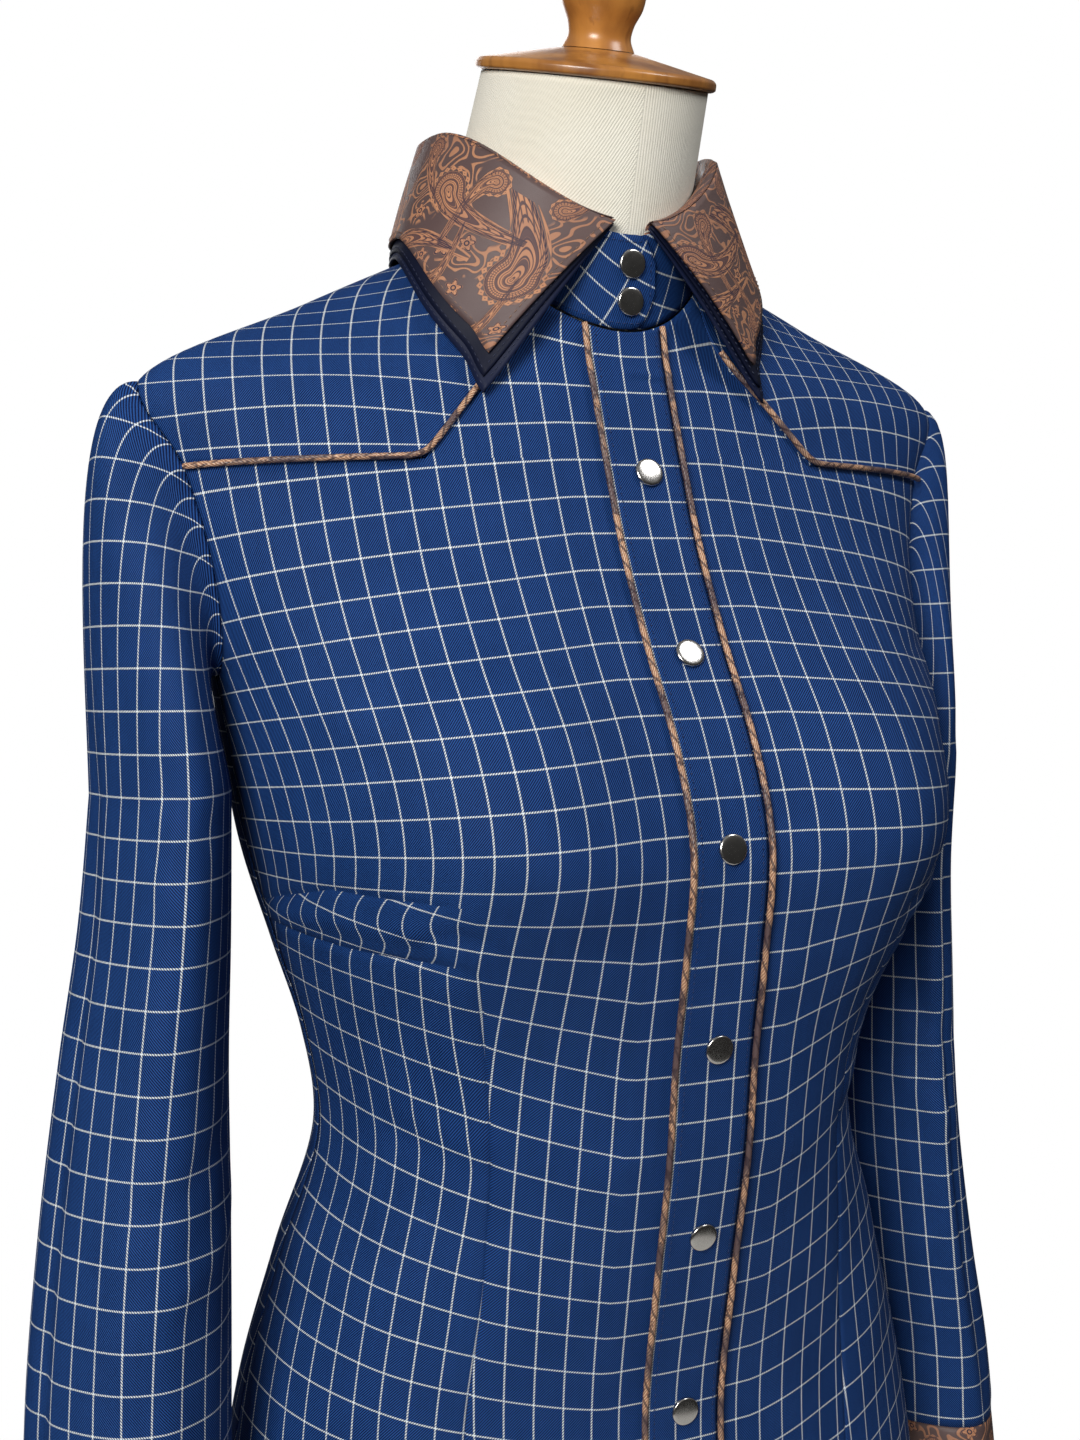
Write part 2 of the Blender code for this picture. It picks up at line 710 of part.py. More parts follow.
def neck_cap():
    profile = (
        (CAP_RADIUS - 1.5 * MM, 0.0),
        (CAP_RADIUS, 1 * MM),
        (CAP_RADIUS, 3.4 * MM),
        (CAP_RADIUS - 1.6 * MM, 4.8 * MM),
        (16 * MM, 12 * MM),
    )
    lean = Matrix.Rotation(CAP_LEAN, 4, "X")
    place = Matrix.Translation(CAP_CENTRE + lean @ Vector((0, 0, 0.4 * MM))) @ lean
    turned("neck_cap", profile, wood(), 28, place)
    knob = (
        (15.5 * MM, 12 * MM + PART_GAP),
        (13.2 * MM, 17 * MM),
        (13.6 * MM, 22 * MM),
        (16.8 * MM, 29 * MM),
        (17.6 * MM, 37 * MM),
        (16.4 * MM, 44 * MM),
        (12 * MM, 50 * MM),
        (5 * MM, 53 * MM),
    )
    turned("neck_knob", knob, wood(), 18, place)


def stand():
    base = (
        (BASE_RADIUS - 3 * MM, 0.0),
        (BASE_RADIUS, 3 * MM),
        (BASE_RADIUS, 14 * MM),
        (BASE_RADIUS - 8 * MM, BASE_HEIGHT),
        (POLE_RADIUS + 12 * MM, BASE_HEIGHT + 2 * MM),
    )
    turned("stand_base", base, wood(), 32)
    foot = BASE_HEIGHT + 2 * MM + PART_GAP
    top = WAIST_HEIGHT + FORM_BOTTOM * MM - 2 * PART_GAP
    pole = (
        (POLE_RADIUS + 9 * MM, foot),
        (POLE_RADIUS + 7 * MM, foot + 8 * MM),
        (POLE_RADIUS, foot + 18 * MM),
        (POLE_RADIUS, top - 12 * MM),
        (POLE_RADIUS + 6 * MM, top - 6 * MM),
        (POLE_RADIUS + 6 * MM, top),
    )
    turned("stand_pole", pole, wood(), 18)


for old in list(bpy.data.objects):
    bpy.data.objects.remove(old, do_unlink=True)
COLLECTION = bpy.data.collections.new("western_snap_shirt")
bpy.context.scene.collection.children.link(COLLECTION)

front_panel("front_right", RIGHT)
front_panel("front_left", LEFT)
front_yoke("yoke_front_right", RIGHT)
front_yoke("yoke_front_left", LEFT)
back_panel()
back_yoke()
placket()
placket_piping("piping_placket_right", RIGHT)
placket_piping("piping_placket_left", LEFT)
yoke_piping("piping_yoke_right", RIGHT)
yoke_piping("piping_yoke_left", LEFT)
back_piping()
collar_stand()
collar("collar_under", navy_satin(), 2.6 * MM, 0.12, 9 * MM)
collar("collar_top", paisley(), 5.6 * MM, 0.0, 0.0)
sleeve("sleeve_right", RIGHT)
sleeve("sleeve_left", LEFT)
cuff("cuff_right", RIGHT)
cuff("cuff_left", LEFT)
placket_snaps()
stand_snaps()
cuff_snaps(RIGHT, "right")
cuff_snaps(LEFT, "left")
form_torso()
neck_cap()
stand()
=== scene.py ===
"""Looks of the western snap shirt on its dress form.

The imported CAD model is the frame. Every cloth piece is built again here as a thin dense shell on the
same body surface, with its creases, its check or figured cloth, and its stitching.
"""

import math

import bmesh
import bpy
import numpy as np
from mathutils import Matrix, Vector

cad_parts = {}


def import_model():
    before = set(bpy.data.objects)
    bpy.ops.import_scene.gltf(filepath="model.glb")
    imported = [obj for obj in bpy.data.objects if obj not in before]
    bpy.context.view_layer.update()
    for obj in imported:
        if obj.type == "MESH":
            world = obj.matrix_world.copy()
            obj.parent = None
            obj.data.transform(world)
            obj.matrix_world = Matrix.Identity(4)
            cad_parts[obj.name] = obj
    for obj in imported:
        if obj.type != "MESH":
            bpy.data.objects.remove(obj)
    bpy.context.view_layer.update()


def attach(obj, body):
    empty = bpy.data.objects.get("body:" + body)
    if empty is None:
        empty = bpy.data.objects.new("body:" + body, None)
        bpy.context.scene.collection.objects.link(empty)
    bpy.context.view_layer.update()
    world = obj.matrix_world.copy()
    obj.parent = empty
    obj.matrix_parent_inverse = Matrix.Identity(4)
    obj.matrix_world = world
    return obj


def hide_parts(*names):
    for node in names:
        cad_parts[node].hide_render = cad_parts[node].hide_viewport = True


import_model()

MM = 0.001
LEFT = 1
RIGHT = -1
WORD = {LEFT: "left", RIGHT: "right"}

# Sizes shared with the CAD, in millimetres.
WAIST = 480
CLOTH = 1.2
SEAM_GAP = 0.36
OVERLAY_GAP = 0.85
PLACKET_HALF_WIDTH = 15.6
PLACKET_LIFT = CLOTH + OVERLAY_GAP
PIPING_RADIUS = 1.3
PIPING_LIFT = CLOTH / 2 + OVERLAY_GAP + PIPING_RADIUS
PIPING_STEP = 1.6
STAND_HEIGHT = 39
SNAP_SPACING = 79
SNAP_FIRST = 61
SNAP_COUNT = 7
CUFF_LENGTH = 62
EASE = 5

RING_COLUMNS = (
    "level", "half_width", "front", "back", "widest", "z_front", "z_side", "z_back", "bust", "square",
)
RINGS = np.array(
    (
        (-235, 166, 84, 122, 24, -235, -235, -235, 0, 2),
        (-190, 166, 82, 122, 24, -190, -190, -190, 0, 2),
        (-140, 162, 79, 120, 24, -140, -140, -140, 0, 2),
        (-90, 153, 79, 112, 23, -90, -90, -90, 0, 2),
        (-35, 137, 92, 98, 20, -35, -35, -35, 0, 1),
        (22, 119, 107, 84, 15, 22, 22, 22, 0, 1),
        (62, 125, 114, 82, 10, 62, 62, 62, 4, 1),
        (100, 137, 122, 86, 5, 100, 100, 100, 13, 2),
        (142, 149, 128, 91, 1, 142, 142, 142, 21, 4),
        (180, 155, 117, 95, 0, 180, 180, 180, 18, 4),
        (215, 160, 99, 98, 0, 215, 215, 215, 9, 3),
        (255, 168, 81, 99, 0, 255, 255, 255, 2, 0),
        (294, 178, 68, 96, 0, 294, 294, 300, 0, -4),
        (330, 187, 61, 84, 0, 318, 328, 342, 0, -8),
        (372, 118, 57, 70, 0, 334, 362, 374, 0, -7),
        (412, 58, 55, 58, 0, 347, 389, 398, 0, 0),
    ),
    float,
)
BUST_X = 86
BUST_WIDTH = 47
LEVEL_HEM_SIDE = -168
LEVEL_HEM_FRONT = -205
LEVEL_ARMPIT = 212
LEVEL_YOKE = 294
LEVEL_SHOULDER = 330
LEVEL_NECK = 412
ARMHOLE_FRONT = 13
ARMHOLE_BACK = 21
YOKE_CORNER_X = 88
YOKE_NECK_X = 43
YOKE_CURVE = 1.9


def hermite(xs, ys, at):
    """A smooth curve through the points, read at one value or an array of them."""
    xs = np.asarray(xs, float)
    ys = np.asarray(ys, float)
    slopes = np.gradient(ys, xs)
    at = np.clip(at, xs[0], xs[-1])
    low = np.clip(np.searchsorted(xs, at, side="right") - 1, 0, len(xs) - 2)
    span = xs[low + 1] - xs[low]
    t = (at - xs[low]) / span
    start = (2 * t**3 - 3 * t**2 + 1) * ys[low] + (t**3 - 2 * t**2 + t) * span * slopes[low]
    end = (3 * t**2 - 2 * t**3) * ys[low + 1] + (t**3 - t**2) * span * slopes[low + 1]
    return start + end


def ring(name, level):
    return hermite(RINGS[:, 0], RINGS[:, RING_COLUMNS.index(name)], level)


def smoothstep(low, high, value):
    t = np.clip((value - low) / (high - low), 0, 1)
    return t * t * (3 - 2 * t)


def across(angle, square):
    return (np.sin(angle) + square * np.sin(3 * angle)) / (1 - square)


def surface(degrees, level):
    """Points of the body surface in millimetres from the floor. degrees and level are arrays."""
    degrees, level = np.broadcast_arrays(np.asarray(degrees, float), np.asarray(level, float))
    angle = np.radians(degrees)
    square = ring("square", level) / 100
    x = ring("half_width", level) * across(angle, square)
    facing = np.cos(angle)
    ahead = facing > 0
    widest = ring("widest", level)
    depth = np.where(ahead, ring("front", level) + widest, ring("back", level) - widest)
    y = widest - depth * (facing - square * np.cos(3 * angle)) / (1 - square)
    middle = np.where(ahead, ring("z_front", level), ring("z_back", level))
    z = middle * facing**2 + ring("z_side", level) * np.sin(angle) ** 2
    bust = ring("bust", level) * np.exp(-(((np.abs(x) - BUST_X) / BUST_WIDTH) ** 2))
    y = y - bust * np.sqrt(np.clip(facing, 0, 1))
    return np.stack([x, y, z + WAIST], -1)


def unit(vectors):
    return vectors / np.maximum(np.linalg.norm(vectors, axis=-1, keepdims=True), 1e-9)


def surface_normal(degrees, level):
    sideways = surface(degrees + 1, level) - surface(degrees - 1, level)
    upward = surface(degrees, np.minimum(level + 2, LEVEL_NECK)) - surface(degrees, level - 2)
    return unit(np.cross(sideways, upward))


def body(degrees, level, lift=0.0):
    degrees, level = np.broadcast_arrays(np.asarray(degrees, float), np.asarray(level, float))
    lift = np.broadcast_to(lift, degrees.shape)
    return surface(degrees, level) + surface_normal(degrees, level) * lift[..., None]


def angle_at(x, level):
    """The angle on the front whose surface point lies x millimetres from the centre plane."""
    x, level = np.broadcast_arrays(np.asarray(x, float), np.asarray(level, float))
    share = np.clip(x / ring("half_width", level), -1, 1)
    square = ring("square", level) / 100
    low = np.full(x.shape, -90.0)
    high = np.full(x.shape, 90.0)
    for _ in range(26):
        middle = (low + high) / 2
        less = across(np.radians(middle), square) < share
        low = np.where(less, middle, low)
        high = np.where(less, high, middle)
    return low


def side_edge(level, reach, gap=SEAM_GAP):
    """Degrees from the side meridian to a panel's outer edge: the side seam, then the armhole."""
    share = np.clip((level - LEVEL_ARMPIT) / (LEVEL_SHOULDER - LEVEL_ARMPIT), 0, 1)
    depth = np.minimum(ring("front", level), ring("back", level) - ring("widest", level))
    half_gap = np.degrees(gap / 2 / depth)
    return reach * 2 * np.sqrt(share * (1 - share)) + half_gap


def hem_level(share):
    return LEVEL_HEM_FRONT + (LEVEL_HEM_SIDE - LEVEL_HEM_FRONT) * np.sin(np.abs(share) * np.pi / 2) ** 2


def yoke_x(level):
    share = np.clip((level - LEVEL_YOKE) / (LEVEL_NECK - LEVEL_YOKE), 0, 1)
    return YOKE_NECK_X + (YOKE_CORNER_X - YOKE_NECK_X) * (1 - share) ** YOKE_CURVE


# Materials. Field wraps a shader socket, so that a pattern is written as a formula.


class Field:
    def __init__(self, tree, socket):
        self.tree = tree
        self.socket = socket

    def math(self, operation, *others):
        node = self.tree.nodes.new("ShaderNodeMath")
        node.operation = operation
        for index, value in enumerate((self, *others)):
            if isinstance(value, Field):
                self.tree.links.new(value.socket, node.inputs[index])
            else:
                node.inputs[index].default_value = value
        return Field(self.tree, node.outputs[0])

    def __add__(self, other):
        return self.math("ADD", other)

    def __sub__(self, other):
        return self.math("SUBTRACT", other)

    def __mul__(self, other):
        return self.math("MULTIPLY", other)

    def __truediv__(self, other):
        return self.math("DIVIDE", other)

    def abs(self):
        return self.math("ABSOLUTE")

    def frac(self):
        return self.math("FRACT")

    def sin(self):
        return self.math("SINE")

    def cos(self):
        return self.math("COSINE")

    def exp(self):
        return self.math("EXPONENT")

    def power(self, value):
        return self.math("POWER", value)

    def atan2(self, other):
        return self.math("ARCTAN2", other)

    def max(self, other):
        return self.math("MAXIMUM", other)

    def min(self, other):
        return self.math("MINIMUM", other)

    def above(self, low, high):
        """0 below low and 1 over high, with a soft step between."""
        node = self.tree.nodes.new("ShaderNodeMapRange")
        node.interpolation_type = "SMOOTHSTEP"
        self.tree.links.new(self.socket, node.inputs["Value"])
        node.inputs["From Min"].default_value = low
        node.inputs["From Max"].default_value = high
        return Field(self.tree, node.outputs["Result"])

    def below(self, low, high):
        return self.above(low, high) * -1.0 + 1.0


class Paint:
    """A material under construction: its principled shader and the fields it is painted with."""

    def __init__(self, name, roughness, **settings):
        self.made = bpy.data.materials.new(name)
        self.made.use_nodes = True
        self.tree = self.made.node_tree
        self.shader = self.tree.nodes["Principled BSDF"]
        self.shader.inputs["Roughness"].default_value = roughness
        for key, value in settings.items():
            self.shader.inputs[key.replace("_", " ")].default_value = value

    def node(self, kind):
        return self.tree.nodes.new(kind)

    def plane(self):
        """u and v of the cloth, in millimetres."""
        split = self.node("ShaderNodeSeparateXYZ")
        uv = self.node("ShaderNodeUVMap")
        uv.uv_map = "cloth"
        self.tree.links.new(uv.outputs[0], split.inputs[0])
        u = Field(self.tree, split.outputs[0])
        v = Field(self.tree, split.outputs[1])
        return u * 1000.0, v * 1000.0

    def noise(self, scale, detail=3.0, stretch=(1, 1, 1), source="Object"):
        """Noise over the object's own coordinates (scale in cycles a metre) or over the cloth."""
        noise = self.node("ShaderNodeTexNoise")
        noise.inputs["Scale"].default_value = scale
        noise.inputs["Detail"].default_value = detail
        place = self.node("ShaderNodeMapping")
        place.inputs["Scale"].default_value = stretch
        if source == "Object":
            self.tree.links.new(self.node("ShaderNodeTexCoord").outputs["Object"], place.inputs[0])
        else:
            uv = self.node("ShaderNodeUVMap")
            uv.uv_map = "cloth"
            self.tree.links.new(uv.outputs[0], place.inputs[0])
        self.tree.links.new(place.outputs[0], noise.inputs["Vector"])
        return Field(self.tree, noise.outputs[0])

    def mix(self, factor, first, second):
        """A colour between two colours, each a tuple or an earlier mix."""
        node = self.node("ShaderNodeMix")
        node.data_type = "RGBA"
        self.tree.links.new(factor.socket, node.inputs[0])
        for socket, value in ((node.inputs[6], first), (node.inputs[7], second)):
            if isinstance(value, tuple):
                socket.default_value = (*value, 1)
            else:
                self.tree.links.new(value.socket, socket)
        return Field(self.tree, node.outputs[2])

    def colour(self, field):
        self.tree.links.new(field.socket, self.shader.inputs["Base Color"])

    def gloss(self, field):
        self.tree.links.new(field.socket, self.shader.inputs["Roughness"])

    def bump(self, height, distance, strength=1.0):
        bump = self.node("ShaderNodeBump")
        bump.inputs["Distance"].default_value = distance
        bump.inputs["Strength"].default_value = strength
        self.tree.links.new(height.socket, bump.inputs["Height"])
        self.tree.links.new(bump.outputs[0], self.shader.inputs["Normal"])


CHECK_WIDE = 11.6
CHECK_TALL = 15.8
TWILL_WIDE = 1.0
TWILL_TALL = 1.2


def check_cloth():
    """Blue twill with a white check, its lines made of slanted weft floats."""
    paint = Paint("blue check twill", 0.7)
    paint.shader.inputs["Specular IOR Level"].default_value = 0.12
    u, v = paint.plane()
    twill = (u / TWILL_WIDE - v / TWILL_TALL).frac()
    float_up = (twill - 0.5).abs().above(0.18, 0.34)
    across_line = ((u / CHECK_WIDE).frac() - 0.5).abs() * CHECK_WIDE
    down_line = ((v / CHECK_TALL).frac() - 0.5).abs() * CHECK_TALL
    warp = across_line.below(0.24, 0.46)
    weft = down_line.below(0.24, 0.46)
    crossing = warp * weft
    lines = warp.max(weft) * (float_up * 0.82 + 0.18)
    lines = lines.max(crossing)
    wear = paint.noise(38, 4)
    slub = paint.noise(420, 2, (1, 0.08, 1), "cloth")
    light = paint.mix(wear.above(0.3, 0.7), (0.013, 0.066, 0.245), (0.017, 0.078, 0.285))
    dark = paint.mix(slub.above(0.3, 0.7), (0.002, 0.006, 0.038), (0.003, 0.010, 0.055))
    blue = paint.mix(float_up, dark, light)
    paint.colour(paint.mix(lines, blue, (0.78, 0.84, 0.88)))
    paint.bump(float_up + lines * 0.6, 0.00016, 0.7)
    return paint.made


def boteh_group():
    """One paisley drop as a node group: from a cloth point and a place it gives the drop's own fields."""
    tree = bpy.data.node_groups.new("boteh", "ShaderNodeTree")
    for name in ("u", "v", "centre u", "centre v", "turn", "size", "bend"):
        tree.interface.new_socket(name, in_out="INPUT", socket_type="NodeSocketFloat")
    for name in ("reach", "round"):
        tree.interface.new_socket(name, in_out="OUTPUT", socket_type="NodeSocketFloat")
    given = tree.nodes.new("NodeGroupInput")
    fields = [Field(tree, given.outputs[index]) for index in range(7)]
    u, v, centre_u, centre_v, turn, size, bend = fields
    du = (u - centre_u) / size
    dv = (v - centre_v) / size
    x = du * turn.cos() + dv * turn.sin()
    y = dv * turn.cos() - du * turn.sin()
    up = y.max(0.0)
    x = x - bend * up * up
    angle = x.atan2(y)
    away = (x * x + y * y).power(0.5)
    lobe = (angle * angle * -4.2).exp() * 1.75
    edge = lobe + 0.72
    result = tree.nodes.new("NodeGroupOutput")
    tree.links.new((away / edge).socket, result.inputs[0])
    tree.links.new(angle.socket, result.inputs[1])
    return tree


# Motifs of the figured cloth over one repeat, in millimetres. A drop has its place, turn in degrees,
# size and bend, and a flower its place and size.
FULL_TURN = 2 * math.pi
REPEAT_WIDE = 84
REPEAT_TALL = 66
BOTEHS = (
    (13, 25, 12, 14.0, 0.42),
    (60, 45, 150, 11.0, 0.62),
    (43, 57, 255, 7.0, 0.9),
    (15, 61, 70, 6.0, 0.8),
    (75, 14, 20, 9.0, -0.5),
    (78, 60, 200, 6.0, 0.5),
    (44, 8, 62, 5.5, 0.8),
)
FLOWERS = (
    (47, 24, 4.8), (38, 30, 4.0), (55, 17, 3.6), (31, 12, 4.0),
    (26, 3, 3.4), (60, 2, 4.2), (70, 33, 3.8), (4, 2, 3.6),
)


def from_centre(place, centre, repeat):
    """The distance from the nearest copy of a motif's centre, one way, in millimetres."""
    return (((place - centre + repeat * 1.5) / repeat).frac() - 0.5) * repeat


def paisley_cloth():
    """Copper drops, with navy edges and beaded fringes, woven on a taupe satin ground."""
    paint = Paint("copper paisley", 0.46)
    paint.shader.inputs["Specular IOR Level"].default_value = 0.32
    u, v = paint.plane()
    tile_u = (u / REPEAT_WIDE).frac() * REPEAT_WIDE
    tile_v = (v / REPEAT_TALL).frac() * REPEAT_TALL
    group = boteh_group()
    copper = None
    navy = None
    body_mask = None

    def join(old, new):
        return new if old is None else old.max(new)

    for centre_u, centre_v, degrees, size, bend in BOTEHS:
        placed = paint.node("ShaderNodeGroup")
        placed.node_tree = group
        near_u = from_centre(tile_u, centre_u, REPEAT_WIDE)
        near_v = from_centre(tile_v, centre_v, REPEAT_TALL)
        paint.tree.links.new(near_u.socket, placed.inputs["u"])
        paint.tree.links.new(near_v.socket, placed.inputs["v"])
        placed.inputs["turn"].default_value = math.radians(degrees)
        placed.inputs["size"].default_value = size
        placed.inputs["bend"].default_value = bend
        reach = Field(paint.tree, placed.outputs[0])
        angle = Field(paint.tree, placed.outputs[1])
        petals = round(size * 1.6)
        bead = ((angle * (petals / FULL_TURN)).frac() - 0.5).abs()
        fringe = (reach - 1.15).abs() * 2.7 + bead * 0.7
        beads = fringe.below(0.3, 0.42)
        eye = fringe.below(0.04, 0.12)
        inside = reach.below(0.99, 1.02)
        rim = (reach - 0.93).abs().below(0.05, 0.07)
        rung = ((angle * (petals * 5 / FULL_TURN)).frac() - 0.5).abs().above(0.2, 0.3)
        inner_rim = (reach - 0.55).abs().below(0.03, 0.05)
        core = (reach - 0.26).abs().below(0.025, 0.045)
        contour = ((reach * 11.0).frac() - 0.5).abs().below(0.1, 0.2)
        rays = ((angle * (petals * 2 / FULL_TURN)).frac() - 0.5).abs().above(0.3, 0.42)
        zone = (reach - 0.75).abs().below(0.1, 0.12)
        lines = (contour * 0.85).max(rays * zone * 0.8)
        copper = join(copper, inside.max(beads))
        ink = (rim * (rung * 0.5 + 0.5)).max(inner_rim * 0.8).max(core * 0.8).max(lines)
        navy = join(navy, (ink * inside).max(eye * 0.7))
        body_mask = join(body_mask, reach.below(1.2, 1.25))
    free = body_mask * -1.0 + 1.0
    for centre_u, centre_v, size in FLOWERS:
        du = from_centre(tile_u, centre_u, REPEAT_WIDE)
        dv = from_centre(tile_v, centre_v, REPEAT_TALL)
        away = (du * du + dv * dv).power(0.5) / size
        angle = du.atan2(dv)
        petal = (angle * 5.0).sin() * 0.22 + 0.78
        flower = away / petal
        shape = flower.below(0.95, 1.02)
        outline = (flower - 0.88).abs().below(0.05, 0.09)
        heart = (away - 0.24).abs().below(0.05, 0.09)
        vein = (angle * 15.0).sin().above(0.75, 0.95) * 0.6
        copper = copper.max(shape * free)
        navy = navy.max(outline.max(heart).max(vein * shape) * free)
    swirl_noise = paint.noise(62, 1, (1, 1, 1), "cloth")
    tendril = ((swirl_noise * 12.0).frac() - 0.5).abs().below(0.14, 0.2)
    tendril = tendril * paint.noise(30, 1, (1, 1, 1), "cloth").above(0.46, 0.49)
    copper = copper.max(tendril * free * 0.85)
    thread = ((v * 2.6 + u * 0.5).frac() - 0.5).abs() * 2.0
    tone = paint.noise(24, 2, (1, 1, 1), "cloth")
    ground = paint.mix(tone.above(0.35, 0.65), (0.088, 0.056, 0.057), (0.120, 0.080, 0.076))
    ground = paint.mix(thread.above(0.2, 0.8), ground, (0.105, 0.066, 0.062))
    warm = paint.mix(tone.above(0.4, 0.6), (0.56, 0.265, 0.135), (0.44, 0.21, 0.12))
    warm = paint.mix(thread.above(0.35, 0.9) * 0.7, warm, (0.30, 0.135, 0.08))
    figured = paint.mix(copper, ground, warm)
    paint.colour(paint.mix(navy, figured, (0.022, 0.018, 0.04)))
    paint.gloss(copper * 0.12 + 0.42)
    paint.bump(copper * 0.7 - navy * 0.5 + thread * 0.25, 0.00018, 0.8)
    return paint.made


def piping_cloth():
    """The figured cloth cut on the bias and rolled: flecks of copper, taupe and navy, slightly shiny, with
    a painted golden highlight along its slanted ribs.
    """
    paint = Paint("copper piping", 0.4)
    u, v = paint.plane()
    fleck = paint.noise(260, 2, (1, 1, 1), "cloth")
    patch = paint.noise(34, 3, (1, 1, 1), "cloth")
    ribs = ((u * 0.9 + v * 0.55 + fleck * 1.6).frac() - 0.5).abs() * 2.0
    base = paint.mix(patch.above(0.47, 0.55), (0.34, 0.165, 0.095), (0.105, 0.066, 0.066))
    # Painted highlight: a pale golden colour along the slanted ribs, inside the copper patches.
    ribs_with_painted_highlight = paint.mix(ribs.above(0.5, 0.8) * patch.below(0.44, 0.6), base, (0.74, 0.50, 0.32))
    slant = ((u * 0.21 - v * 0.12 + patch * 1.2).frac() - 0.5).abs() * 2.0
    dark = (fleck.above(0.56, 0.64) * 0.85).max(slant.above(0.72, 0.84) * 0.8)
    paint.colour(paint.mix(dark, ribs_with_painted_highlight, (0.035, 0.02, 0.028)))
    paint.bump(ribs * 0.6 + fleck, 0.0003, 0.8)
    return paint.made


def satin_cloth(name, light, rough):
    paint = Paint(name, rough)
    paint.shader.inputs["Specular IOR Level"].default_value = 0.14
    u, v = paint.plane()
    thread = ((u * 1.6 + v * 2.2).frac() - 0.5).abs() * 2.0
    tone = paint.noise(90, 3)
    deep = tuple(channel * 0.55 for channel in light)
    paint.colour(paint.mix(thread * 0.5 + tone * 0.5, deep, light))
    paint.gloss(tone * 0.16 + (rough - 0.08))
    paint.bump(thread * 0.5 + tone, 0.00008, 0.5)
    return paint.made


def thread_cloth(name, colour):
    paint = Paint(name, 0.5)
    strand = paint.noise(900, 1)
    paint.colour(paint.mix(strand, tuple(c * 0.6 for c in colour), colour))
    return paint.made


def snap_metal():
    paint = Paint("polished nickel", 0.18, Metallic=1.0)
    brush = paint.noise(700, 2, (1, 1, 1))
    smear = paint.noise(160, 3)
    paint.colour(paint.mix(smear, (0.52, 0.50, 0.47), (0.66, 0.64, 0.61)))
    paint.gloss(brush * 0.1 + smear * 0.1 + 0.11)
    return paint.made


def jersey():
    """Cream cotton jersey with fine upright ribs."""
    paint = Paint("cream jersey", 0.92, Sheen_Weight=0.1)
    u, v = paint.plane()
    wale = ((u / 1.25).frac() - 0.5).abs() * 2.0
    course = ((v / 0.9 + wale * 0.5).frac() - 0.5).abs() * 2.0
    tone = paint.noise(16, 5)
    fuzz = paint.noise(300, 2)
    base = paint.mix(tone.above(0.3, 0.7), (0.86, 0.82, 0.70), (0.93, 0.90, 0.80))
    base = paint.mix(wale.above(0.1, 0.9) * 0.35, base, (0.66, 0.61, 0.47))
    paint.colour(base)
    paint.bump(wale * 0.7 + course * 0.3 + fuzz * 0.6, 0.00028, 0.8)
    return paint.made


def wood(name, axis):
    """Varnished wood, its grain drawn out along one axis."""
    light = (0.50, 0.215, 0.045)
    dark = (0.19, 0.064, 0.014)
    paint = Paint(name, 0.34, Coat_Weight=0.25, Coat_Roughness=0.2)
    grain = paint.noise(62, 5, axis)
    pore = paint.noise(300, 3, axis)
    blotch = paint.noise(16, 3)
    base = paint.mix(grain.above(0.3, 0.72), dark, light)
    base = paint.mix(blotch.above(0.35, 0.75) * 0.5, base, tuple(c * 1.25 for c in light))
    base = paint.mix(pore.above(0.58, 0.72) * 0.4, base, dark)
    paint.colour(base)
    paint.gloss(pore * 0.15 + 0.24)
    paint.bump(grain * 0.5 + pore * 0.5, 0.0002, 0.35)
    return paint.made


CHECK = check_cloth()
PAISLEY = paisley_cloth()
PIPING = piping_cloth()
SATIN = satin_cloth("navy satin", (0.0045, 0.007, 0.024), 0.5)
SATIN_LOWER = satin_cloth("navy taffeta", (0.009, 0.014, 0.044), 0.45)
STITCH_BLUE = thread_cloth("blue thread", (0.006, 0.03, 0.14))
STITCH_DARK = thread_cloth("navy thread", (0.022, 0.03, 0.075))
STITCH_BROWN = thread_cloth("brown thread", (0.30, 0.17, 0.11))
METAL = snap_metal()
JERSEY = jersey()
WOOD = wood("honey wood", (1, 1, 0.12))
WOOD_STAND = wood("stand wood", (1, 1, 0.08))


# Objects.


def keep(name, mesh, material, nodes):
    made = bpy.data.objects.new(name, mesh)
    bpy.context.scene.collection.objects.link(made)
    mesh.materials.append(material)
    mesh.shade_smooth()
    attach(made, "root")
    if nodes:
        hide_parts(*nodes)
    return made


def grid(name, points, uv, material, nodes=(), wrap=False, flip=False, thick=CLOTH, shown=None):
    """A shell through a grid of points (rows, columns, xyz) in millimetres.

    uv is (rows, columns, 2), or (rows - 1, columns - 1, 4, 2) where cells don't share their corners.
    """
    rows, columns = points.shape[:2]
    index = np.arange(rows * columns).reshape(rows, columns)
    right = np.roll(index, -1, 1) if wrap else index[:, 1:]
    left = index if wrap else index[:, :-1]
    corners = np.stack([left[:-1], right[:-1], right[1:], left[1:]], -1)
    if uv.ndim == 3:
        flat = uv.reshape(-1, 2)
        cell_uv = flat[corners].copy()
        if wrap:
            cell_uv[:, -1, 1, 0] = 2 * uv[:-1, -1, 0] - uv[:-1, -2, 0]
            cell_uv[:, -1, 2, 0] = 2 * uv[1:, -1, 0] - uv[1:, -2, 0]
    else:
        cell_uv = uv
    if flip:
        corners = corners[..., ::-1]
        cell_uv = cell_uv[..., ::-1, :]
    faces = corners.reshape(-1, 4)
    places = points.reshape(-1, 3)
    if shown is not None:
        faces = faces[shown.ravel()]
        cell_uv = cell_uv.reshape(-1, 4, 2)[shown.ravel()]
        used, faces = np.unique(faces, return_inverse=True)
        faces = faces.reshape(-1, 4)
        places = places[used]
    mesh = bpy.data.meshes.new(name)
    mesh.from_pydata((places * MM).tolist(), [], faces.tolist())
    layer = mesh.uv_layers.new(name="cloth")
    layer.data.foreach_set("uv", (cell_uv.reshape(-1, 2) * MM).ravel())
    made = keep(name, mesh, material, nodes)
    if thick:
        wall = made.modifiers.new("wall", "SOLIDIFY")
        wall.thickness = thick * MM
        wall.offset = 0.0
    return made


